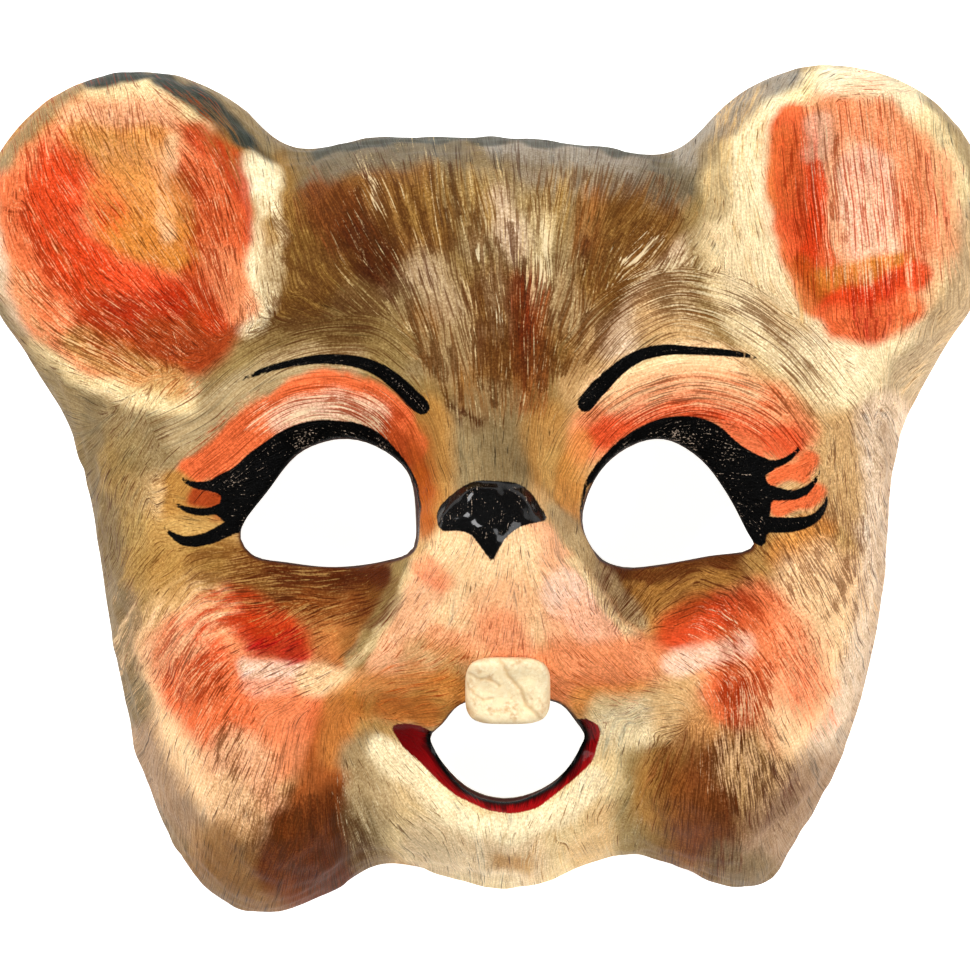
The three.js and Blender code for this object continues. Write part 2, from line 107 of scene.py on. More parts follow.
# Mesh fineness
FIELD_STEP = 0.5  # spacing of the points where the distance to the rim is worked out
FIELD_REACH = 1.4  # how far out they go, in half face widths
FRONT_RAYS = 800
FRONT_STEP = 0.94  # between two rings of the front, along the surface
BACK_RAYS = 400
BACK_STEP = 2.0
CENTRE_RAYS = 50
HALVE_BELOW = 0.56  # rays are halved where they come closer than this share of a ring's step
RAY_SAMPLES = 500
RAY_HALVINGS = 40  # of the stretch in which a ray's end is looked for
RAY_CROWDING = 0.6  # how far a ray's samples draw together towards the rim
MEASURED_RAYS = 20  # every so many rays, one is measured for a ring's mean radius
SNAP_SHARE = 0.28  # points move onto an opening's outline from within this share of a ring's step
SLOPE_STEP = 0.05  # between the places where a slope is measured
SOFTEN_POINTS = 6
CURVE_POINTS = 5
TOOTH_STEPS = 70
FAR = 1e3  # farther than anything on the mask
OFF_PAINT = 50.0  # the distance to black and lips that the inside is given
SHELL_SHARP = 42.0  # degrees between two faces past which the edge stays sharp
TOOTH_SHARP = 50.0

# Unevenness: how deep, and its shortest and longest waves.
COARSE_LUMPS = (0.22, 9, 22)
FINE_LUMPS = (0.09, 4, 8)
NOSE_LUMPS = (0.25, 3, 7)
INNER_LUMPS = (0.2, 10, 30)
TOOTH_LUMPS = (0.22, 3, 8)
TOUCH_WANDER = (0.35, 4, 14)
SWEEP_WANDER = (0.8, 14, 40)
WAVES = 26

# Relief of the paint: how far it stands proud, and how far in from its outline it gets there.
BLACK_RELIEF = (0.1, 0.6)
NOSE_RELIEF = (0.4, 2.4)
LIP_SINKS = (0.35, 1.2)
HOLE_ROUNDING = (0.6, 0.9)
FLAT_BELOW = 6.0  # the height under which the relief dies away to the rim

# The camera looks straight down
CAMERA_RISE = 2400.0
CAMERA_AXIS = (-0.11, 0.97)  # where its axis meets the rim plane
VIEW_WIDTH = 209.8  # what it sees of the rim plane
SENSOR = 36.0

HALF_FACE = FACE_WIDTH / 2
PLACES = {
    "face": (0.0, 0.0, HALF_FACE),
    "left_eye": (EYE_SHIFT - EYE_SPREAD / 2, -EYE_DROP, EYE_WIDTH / 2),
    "right_eye": (EYE_SHIFT + EYE_SPREAD / 2, -EYE_DROP, EYE_WIDTH / 2),
    "mouth": (MOUTH_SHIFT, -MOUTH_DROP, MOUTH_WIDTH / 2),
}

# The rim of the face without its ears: across in half widths, up in forehead rises or, where it is
# negative, in jowl drops, and the roll there as a share of the face's roll.
RIM = [
    (0.0, 1.0, 0.7), (-0.37, 0.983, 0.7), (-0.55, 0.9, 0.75), (-0.72, 0.7, 0.8),
    (-0.93, 0.34, 0.9), (-0.99, 0.08, 0.9), (-0.96, -0.22, 0.95), (-0.922, -0.43, 1.0),
    (-0.864, -0.65, 1.0), (-0.796, -0.82, 1.0), (-0.686, -0.957, 1.0), (-0.545, -1.004, 0.95),
    (-0.4, -0.96, 0.85), (-0.27, -0.892, 0.75), (-0.17, -0.897, 0.7), (0.0, -0.941, 0.7),
    (0.13, -0.939, 0.7), (0.25, -0.892, 0.7), (0.36, -0.865, 0.75), (0.47, -0.89, 0.85),
    (0.6, -0.938, 0.95), (0.7, -0.935, 1.0), (0.788, -0.82, 1.0), (0.9, -0.62, 1.0),
    (0.967, -0.41, 1.0), (1.003, -0.2, 0.95), (1.01, 0.06, 0.9), (0.95, 0.34, 0.9),
    (0.74, 0.7, 0.8), (0.6, 0.87, 0.75), (0.42, 0.945, 0.7), (0.24, 0.98, 0.7),
]

# Rounded swellings and hollows: place, across, up, wide, tall, turn in degrees, and the rise as a share
# of the depth.
RELIEFS = [
    ("face", -0.56, -0.44, 0.28, 0.24, 20, 0.2),
    ("face", 0.64, -0.42, 0.28, 0.24, -20, 0.2),
    ("face", -0.54, -0.8, 0.22, 0.2, -20, 0.12),
    ("face", 0.62, -0.76, 0.22, 0.2, 20, 0.12),
    ("face", -0.29, -0.82, 0.1, 0.3, -6, -0.24),
    ("face", 0.36, -0.8, 0.1, 0.28, 8, -0.22),
    ("face", 0.02, 0.6, 0.5, 0.3, 0, 0.06),
    ("face", -0.64, 0.36, 0.22, 0.28, 30, -0.08),
    ("face", 0.68, 0.38, 0.22, 0.28, -30, -0.08),
    ("left_eye", -0.04, -0.06, 1.24, 0.92, 10, -0.17),
    ("right_eye", 0.03, -0.06, 1.24, 0.92, -10, -0.17),
    ("left_eye", 0.05, 1.6, 1.66, 0.6, 14, 0.06),
    ("right_eye", -0.06, 1.68, 1.66, 0.6, -14, 0.06),
    ("mouth", 0.0, -0.11, 1.25, 0.62, 0, -0.14),
    ("mouth", -0.08, -1.15, 1.14, 0.62, 0, 0.13),
]

# The snout from the bridge down: up, middle, half width, crest and the slope of its flanks.
SNOUT = np.array([
    (0.8, 0.02, 0.04, 0.5, 0.7),
    (0.5, 0.02, 0.05, 0.62, 0.7),
    (0.3, 0.02, 0.06, 0.7, 0.9),
    (0.16, 0.015, 0.07, 0.79, 1.4),
    (0.04, 0.01, 0.08, 0.92, 1.9),
    (-0.05, 0.01, 0.1, 1.0, 2.1),
    (-0.14, 0.015, 0.16, 0.99, 2.0),
    (-0.28, 0.025, 0.25, 0.92, 1.8),
    (-0.4, 0.035, 0.32, 0.85, 1.6),
    (-0.5, 0.045, 0.34, 0.76, 1.5),
    (-0.6, 0.05, 0.28, 0.6, 1.4),
    (-0.72, 0.05, 0.2, 0.42, 1.3),
])

# Each ear's dish: side, shift, lift, wide, tall, turn.
EARS = [(-1, -0.05, 0.0, 0.76, 0.93, -12), (1, 0.12, 0.05, 0.66, 0.86, 12)]

# The openings, each from its inner or left corner over the top.
LEFT_EYE = [
    (0.91, -0.14), (0.79, 0.62), (0.21, 1.07), (-0.38, 0.89), (-0.77, 0.28), (-1.09, -0.39),
    (-0.95, -0.72), (-0.53, -0.84), (0.0, -0.91), (0.59, -0.8), (0.87, -0.64),
]
RIGHT_EYE = [
    (-0.89, -0.22), (-0.7, 0.55), (-0.32, 0.98), (0.05, 1.07), (0.45, 0.77), (0.74, 0.27),
    (0.97, -0.32), (1.06, -0.6), (0.54, -0.74), (0.0, -0.87), (-0.42, -0.91), (-0.7, -0.75),
]
MOUTH = [
    (-1.0, 0.2), (-0.83, 0.5), (-0.6, 0.9), (0.0, 1.0), (0.65, 0.92), (0.87, 0.55), (1.0, 0.2),
    (0.93, -0.08), (0.64, -0.62), (0.27, -0.93), (-0.12, -1.0), (-0.5, -0.8), (-0.82, -0.33),
]


def smooth(value, low=0.0, high=1.0):
    share = np.clip((value - low) / (high - low), 0, 1)
    return share * share * (3 - 2 * share)


def soft_max(a, b, reach):
    share = np.clip(0.5 + 0.5 * (b - a) / reach, 0, 1)
    return a + (b - a) * share + reach * share * (1 - share)


def closed_curve(points, steps=CURVE_POINTS):
    """A smooth closed curve through the points, drawn as a centripetal Catmull-Rom spline."""
    points = np.asarray(points, float)
    drawn = []
    for i in range(len(points)):
        before, start, end, after = (points[(i + k) % len(points)] for k in (-1, 0, 1, 2))
        pairs = ((before, start), (start, end), (end, after))
        come, run, go = (math.sqrt(np.linalg.norm(b - a)) for a, b in pairs)
        leave = (start - before) / come - (end - before) / (come + run) + (end - start) / run
        arrive = (end - start) / run - (after - start) / (run + go) + (after - end) / go
        leave, arrive = leave * run, arrive * run
        for k in range(steps):
            t = k / steps
            bend = -3 * start + 3 * end - 2 * leave - arrive
            twist = 2 * start - 2 * end + leave + arrive
            drawn.append(start + t * (leave + t * (bend + t * twist)))
    return np.array(drawn)


def open_curve(points, steps=CURVE_POINTS):
    """A smooth open curve through rows of any length, the first two of them x and y."""
    points = np.asarray(points, float)
    padded = np.vstack([2 * points[0] - points[1], points, 2 * points[-1] - points[-2]])
    drawn = []
    for i in range(1, len(padded) - 2):
        a, b, c, d = padded[i - 1 : i + 3]
        for k in range(steps):
            t = k / steps
            bend = 2 * a - 5 * b + 4 * c - d
            twist = 3 * b - a - 3 * c + d
            drawn.append(0.5 * (2 * b + (c - a) * t + bend * t**2 + twist * t**3))
    drawn.append(points[-1])
    return np.array(drawn)


def beside_run(start, end, x, y):
    """Each place's nearest point on a straight run, as a share of it, and the way on to the place."""
    run = end[:2] - start[:2]
    share = np.clip(((x - start[0]) * run[0] + (y - start[1]) * run[1]) / (run @ run), 0, 1)
    return share, x - start[0] - share * run[0], y - start[1] - share * run[1]


def inside(points, x, y, values=None):
    """How far each place lies inside a closed outline, negative outside, and a value carried along it."""
    nearest = np.full(x.shape, np.inf)
    carried = np.zeros(x.shape)
    within = np.zeros(x.shape, bool)
    for i in range(len(points)):
        start, end = points[i - 1], points[i]
        share, gap_x, gap_y = beside_run(start, end, x, y)
        gap = np.hypot(gap_x, gap_y)
        closer = gap < nearest
        nearest = np.where(closer, gap, nearest)
        if values is not None:
            carried = np.where(closer, values[i - 1] + share * (values[i] - values[i - 1]), carried)
        run = end - start
        if run[1]:
            crossed = x < start[0] + (y - start[1]) * run[0] / run[1]
            within ^= ((start[1] > y) != (end[1] > y)) & crossed
    signed = np.where(within, nearest, -nearest)
    return signed if values is None else (signed, carried)


class Field:
    """Values worked out on an even grid over the mask, and read off between its points."""

    def __init__(self, reach, worked_out):
        self.low = -reach
        across = np.arange(-reach, reach + FIELD_STEP, FIELD_STEP)
        self.count = len(across)
        self.values = worked_out(*np.meshgrid(across, across))

    def read(self, x, y):
        u = np.clip((x - self.low) / FIELD_STEP, 0, self.count - 1.001)
        v = np.clip((y - self.low) / FIELD_STEP, 0, self.count - 1.001)
        i, j = u.astype(int), v.astype(int)
        s, t = u - i, v - j
        return [
            (grid[j, i] * (1 - s) + grid[j, i + 1] * s) * (1 - t)
            + (grid[j + 1, i] * (1 - s) + grid[j + 1, i + 1] * s) * t
            for grid in self.values
        ]


def rim_field():
    rows = [(across * HALF_FACE, up * (FOREHEAD_RISE if up > 0 else JOWL_DROP)) for across, up, _ in RIM]
    points = closed_curve(rows)
    rolls = [row[2] for row in RIM]
    at = np.arange(len(points)) / CURVE_POINTS
    drawn_rolls = FACE_ROLL * np.interp(at, np.arange(len(rolls) + 1), rolls + rolls[:1])
    return Field(FIELD_REACH * HALF_FACE, lambda x, y: inside(points, x, y, drawn_rolls))


RIM_FIELD = rim_field()


def outline(x, y):
    """How far inside the outline each place lies, its roll, its share of an ear and that ear's centre."""
    face, roll = RIM_FIELD.read(x, y)
    reach = np.clip(face / 2, 0, SOFTEN)
    total = face.copy()
    for i in range(SOFTEN_POINTS):
        turn = 2 * math.pi * i / SOFTEN_POINTS
        total += RIM_FIELD.read(x + reach * math.cos(turn), y + reach * math.sin(turn))[0]
    face = np.where(reach > 0, total / (SOFTEN_POINTS + 1), face)
    side = np.where(x < 0, -1, 1)
    centre_x = side * EAR_SPREAD / 2
    centre_y = EAR_RISE + side * EAR_SLANT / 2
    ear = EAR_RADIUS - np.hypot(x - centre_x, y - centre_y)
    share = smooth(ear - face, -EAR_MERGE, EAR_MERGE)
    fillet = EAR_WEB + (EAR_FILLET - EAR_WEB) * smooth(y, EAR_RISE - EAR_RADIUS, EAR_RISE)
    return soft_max(face, ear, fillet), roll + (EAR_ROLL - roll) * share, share, centre_x, centre_y


def snout_column(index, up):
    """One column of the snout's table at each height, on a smooth curve through its rows."""
    ups, values = SNOUT[:, 0], SNOUT[:, index]
    last = len(ups) - 1
    below = np.clip(np.searchsorted(-ups, -up, side="left"), 1, last)
    above = below - 1

    def slope(row):
        a, b = np.maximum(row - 1, 0), np.minimum(row + 1, last)
        return (values[b] - values[a]) / (ups[b] - ups[a])

    run = ups[below] - ups[above]
    t = np.clip((up - ups[above]) / run, 0, 1)
    leave, arrive = slope(above) * run, slope(below) * run
    rise = values[below] - values[above]
    bend = 3 * rise - 2 * leave - arrive
    return values[above] + t * (leave + t * (bend + t * (leave + arrive - 2 * rise)))


def turned(dx, dy, degrees):
    c, s = math.cos(math.radians(degrees)), math.sin(math.radians(degrees))
    return dx * c + dy * s, dy * c - dx * s


def face_height(x, y):
    top = FACE_FALL["top"] * (y / FOREHEAD_RISE) ** 2
    chin = FACE_FALL["chin"] * (y / JOWL_DROP) ** 2
    total = FACE_DEPTH * (1 - FACE_FALL["side"] * (x / HALF_FACE) ** 2 - np.where(y > 0, top, chin))
    for place, across, up, wide, tall, turn, rise in RELIEFS:
        place_x, place_y, size = PLACES[place]
        u, v = turned((x - place_x) / size - across, (y - place_y) / size - up, turn)
        total = total + rise * FACE_DEPTH * np.exp(-((u / wide) ** 2) - (v / tall) ** 2)
    up = y / HALF_FACE
    beyond = np.hypot(x - snout_column(1, up) * HALF_FACE, SNOUT_CREST) - snout_column(2, up) * HALF_FACE
    ramp = (beyond + np.hypot(beyond, SNOUT_ROUNDING)) / 2
    return soft_max(total, snout_column(3, up) * NOSE_DEPTH - snout_column(4, up) * ramp, SNOUT_MERGE)


def height(x, y):
    """The height of the mask's front over the rim plane."""
    inset, roll, share, centre_x, centre_y = outline(x, y)
    side = np.where(x < 0, -1, 1)
    form = face_height(x, y) * (1 - share) + (EAR_DEPTH + EAR_LEAN * (centre_x - x) * side) * share
    for ear_side, shift, lift, wide, tall, turn in EARS:
        u, v = turned((x - centre_x) / EAR_RADIUS - shift, (y - centre_y) / EAR_RADIUS - lift, turn)
        dip = DISH_DEPTH * (1 - smooth(np.hypot(u / wide, v / tall)))
        form = form - np.where(side == ear_side, dip, 0)
    rolled = 1 - np.clip(inset / roll, 0, 1)
    return np.where(inset > 0, form * np.sqrt(np.clip(1 - rolled**2, 0, 1)), 0)


def opening(rows, place, width, tall):
    centre_x, centre_y, _ = PLACES[place]
    return closed_curve([(centre_x + across * width / 2, centre_y + up * tall / 2) for across, up in rows])


OPENINGS = [
    opening(LEFT_EYE, "left_eye", EYE_WIDTH, EYE_HEIGHT),
    opening(RIGHT_EYE, "right_eye", EYE_WIDTH, EYE_HEIGHT),
    opening(MOUTH, "mouth", MOUTH_WIDTH, MOUTH_HEIGHT),
]


def inside_openings(x, y):
    return np.max([inside(points, x, y) for points in OPENINGS], axis=0)


def as_seen(x, y, z):
    """Where the camera sees a point of the mask on the rim plane."""
    spread = CAMERA_RISE / (CAMERA_RISE - z)
    axis_x, axis_y = CAMERA_AXIS
    return axis_x + (x - axis_x) * spread, axis_y + (y - axis_y) * spread


# The black paint. A stroke's rows are x, y and its width there.
STROKES = {
    "left_brow": [
        (-55.4, 22.6, 0.2), (-50, 24.9, 1.1), (-44, 26.8, 1.6), (-37, 28.1, 2.1), (-30, 28, 2.5),
        (-24, 26.4, 3.0), (-19, 22.9, 3.5), (-15.2, 19, 3.9), (-13.9, 17.8, 3.6),
    ],
    "right_brow": [
        (21.6, 18.6, 3.6), (24.6, 22, 3.7), (29, 26.2, 3.1), (33.5, 29.1, 2.7), (39, 30.2, 2.5),
        (45, 30, 1.9), (51, 29.6, 1.7), (56, 29, 1.2), (60.4, 28, 0.2),
    ],
    "left_upper_lash": [
        (-66.6, 3.8, 0.1), (-65, 1.9, 0.9), (-62.4, 0.9, 1.7), (-59, 0.9, 2.6), (-54, 2.2, 4.0),
    ],
    "left_middle_lash": [
        (-68, -1.6, 0.1), (-66.6, -3.4, 0.8), (-63.6, -4.6, 1.6), (-59.5, -4.7, 1.9), (-54.5, -2.6, 2.2),
    ],
    "left_lower_lash": [
        (-69.8, -7.5, 0.1), (-68, -9.7, 1.2), (-64.6, -11.2, 2.4), (-60, -10.6, 2.9), (-54, -7.6, 3.6),
    ],
    "left_inner_line": [
        (-21, 9.6, 1.2), (-17.4, 5.2, 1.2), (-15.4, 1, 1.0), (-14.6, -5, 0.9), (-14.9, -10, 0.9),
        (-16, -14, 0.4),
    ],
    "right_upper_lash": [
        (69, 11.6, 0.1), (67.6, 8.6, 0.9), (65, 6.4, 1.5), (61.5, 5.4, 2.0), (56.5, 6.6, 3.0),
    ],
    "right_middle_lash": [
        (73, 5.4, 0.1), (71.6, 2.2, 1.0), (68.6, -0.6, 2.0), (64.8, -1.2, 2.6), (58, 0, 4.4),
    ],
    "right_lower_lash": [
        (74.6, 1.8, 0.1), (73.8, -2.4, 1.0), (71.2, -6.2, 2.2), (66.6, -7.6, 3.2), (61, -7.6, 3.6),
    ],
    "right_inner_line": [
        (30, 11, 1.3), (25.2, 6.4, 1.2), (22, 1.6, 1.1), (20.8, -4, 0.9), (21.2, -8, 0.5),
    ],
}
# Lids and nose are filled outlines. A lid's lower side runs through the eye hole.
FILLS = {
    "left_lid": [
        (-15.6, 1), (-17, 5.6), (-21, 10.6), (-25, 13.4), (-29.6, 14.9), (-35, 15.2), (-41, 14.2),
        (-46, 11.6),
        (-51, 8), (-55, 4.6), (-59, 2.4), (-60, 0), (-57.4, -1.4), (-57.6, -3.4), (-58.4, -5.4),
        (-56.4, -7),
        (-55, -8.6), (-51.4, -8.6), (-45, -2), (-36, 6), (-28, 8), (-20, 4),
    ],
    "right_lid": [
        (22, 1), (24.6, 5.6), (29, 10.6), (34, 14), (40, 15.8), (45.6, 15.8), (50.6, 13.8), (54.6, 10.2),
        (58, 8), (61.4, 6.4), (62.6, 4.4), (60.6, 2.8), (62, 0), (61.8, -3.6), (61.6, -6), (61, -9.6),
        (60, -12.4),
        (57.6, -11), (52, -3), (44, 6), (36, 8), (28, 4),
    ],
    "nose": [
        (-10.2, -4.6), (-8.4, -2), (-5.6, 0.4), (-2, 1.9), (3, 2), (7, 1.2), (9.6, -0.6), (11.6, -3.4),
        (13.2, -6.6),
        (10.4, -7.4), (7.4, -8.2), (4.6, -10.4), (2.9, -13), (1.9, -15.2), (1.6, -17), (0.9, -15.2),
        (-1.2, -12.4),
        (-3.4, -9.8), (-6, -9), (-9.6, -8.8), (-10.6, -6.6),
    ],
}
# The red of the lips: its outer side, then back through the mouth.
LIP = [
    (-20.2, -51.2), (-19.4, -53.6), (-17, -56.4), (-14.2, -59.2), (-11, -62.3), (-7.6, -65.2),
    (-3.9, -67.4),
    (-0.4, -69), (3.1, -69.9), (7.4, -69.9), (11.2, -68.8), (14.6, -66.6), (17.3, -64.3), (20.6, -61.4),
    (23.3, -58.2), (24.8, -54), (24.4, -51), (20.6, -49.8), (17, -53),
    (10, -62), (0, -63), (-8, -56), (-12.4, -51.6),
]

# Pigments, as red, green and blue of 255.
PIGMENTS = {
    "pearl": (250, 246, 236),
    "bone": (252, 237, 202),
    "cream": (243, 219, 172),
    "rose": (247, 205, 184),
    "shell": (230, 204, 180),
    "sand": (212, 172, 122),
    "straw": (200, 158, 94),
    "ochre": (182, 132, 68),
    "olive": (150, 114, 58),
    "khaki": (150, 126, 80),
    "fawn": (180, 156, 118),
    "taupe": (152, 131, 95),
    "stone": (126, 107, 76),
    "slate": (112, 101, 82),
    # a dark grey-green, laid only as painted shadow
    "painted_shadow": (54, 60, 54),
    "mauve": (164, 134, 108),
    "ash": (146, 136, 124),
    "earth": (134, 90, 42),
    "sienna": (178, 88, 30),
    "chestnut": (114, 58, 24),
    "umber": (84, 38, 14),
    "bark": (80, 48, 20),
    "maroon": (54, 16, 6),
    "brick": (160, 64, 26),
    "rust": (190, 58, 20),
    "scarlet": (228, 74, 34),
    "coral": (236, 114, 68),
    "salmon": (242, 150, 104),
    "blush": (246, 184, 144),
    "peach": (250, 207, 162),
    "honey": (230, 156, 82),
    "amber": (212, 136, 58),
    "crimson": (156, 12, 15),
    "wine": (80, 4, 6),
    "ink": (5, 5, 5),
    "paper": (168, 154, 130),
}

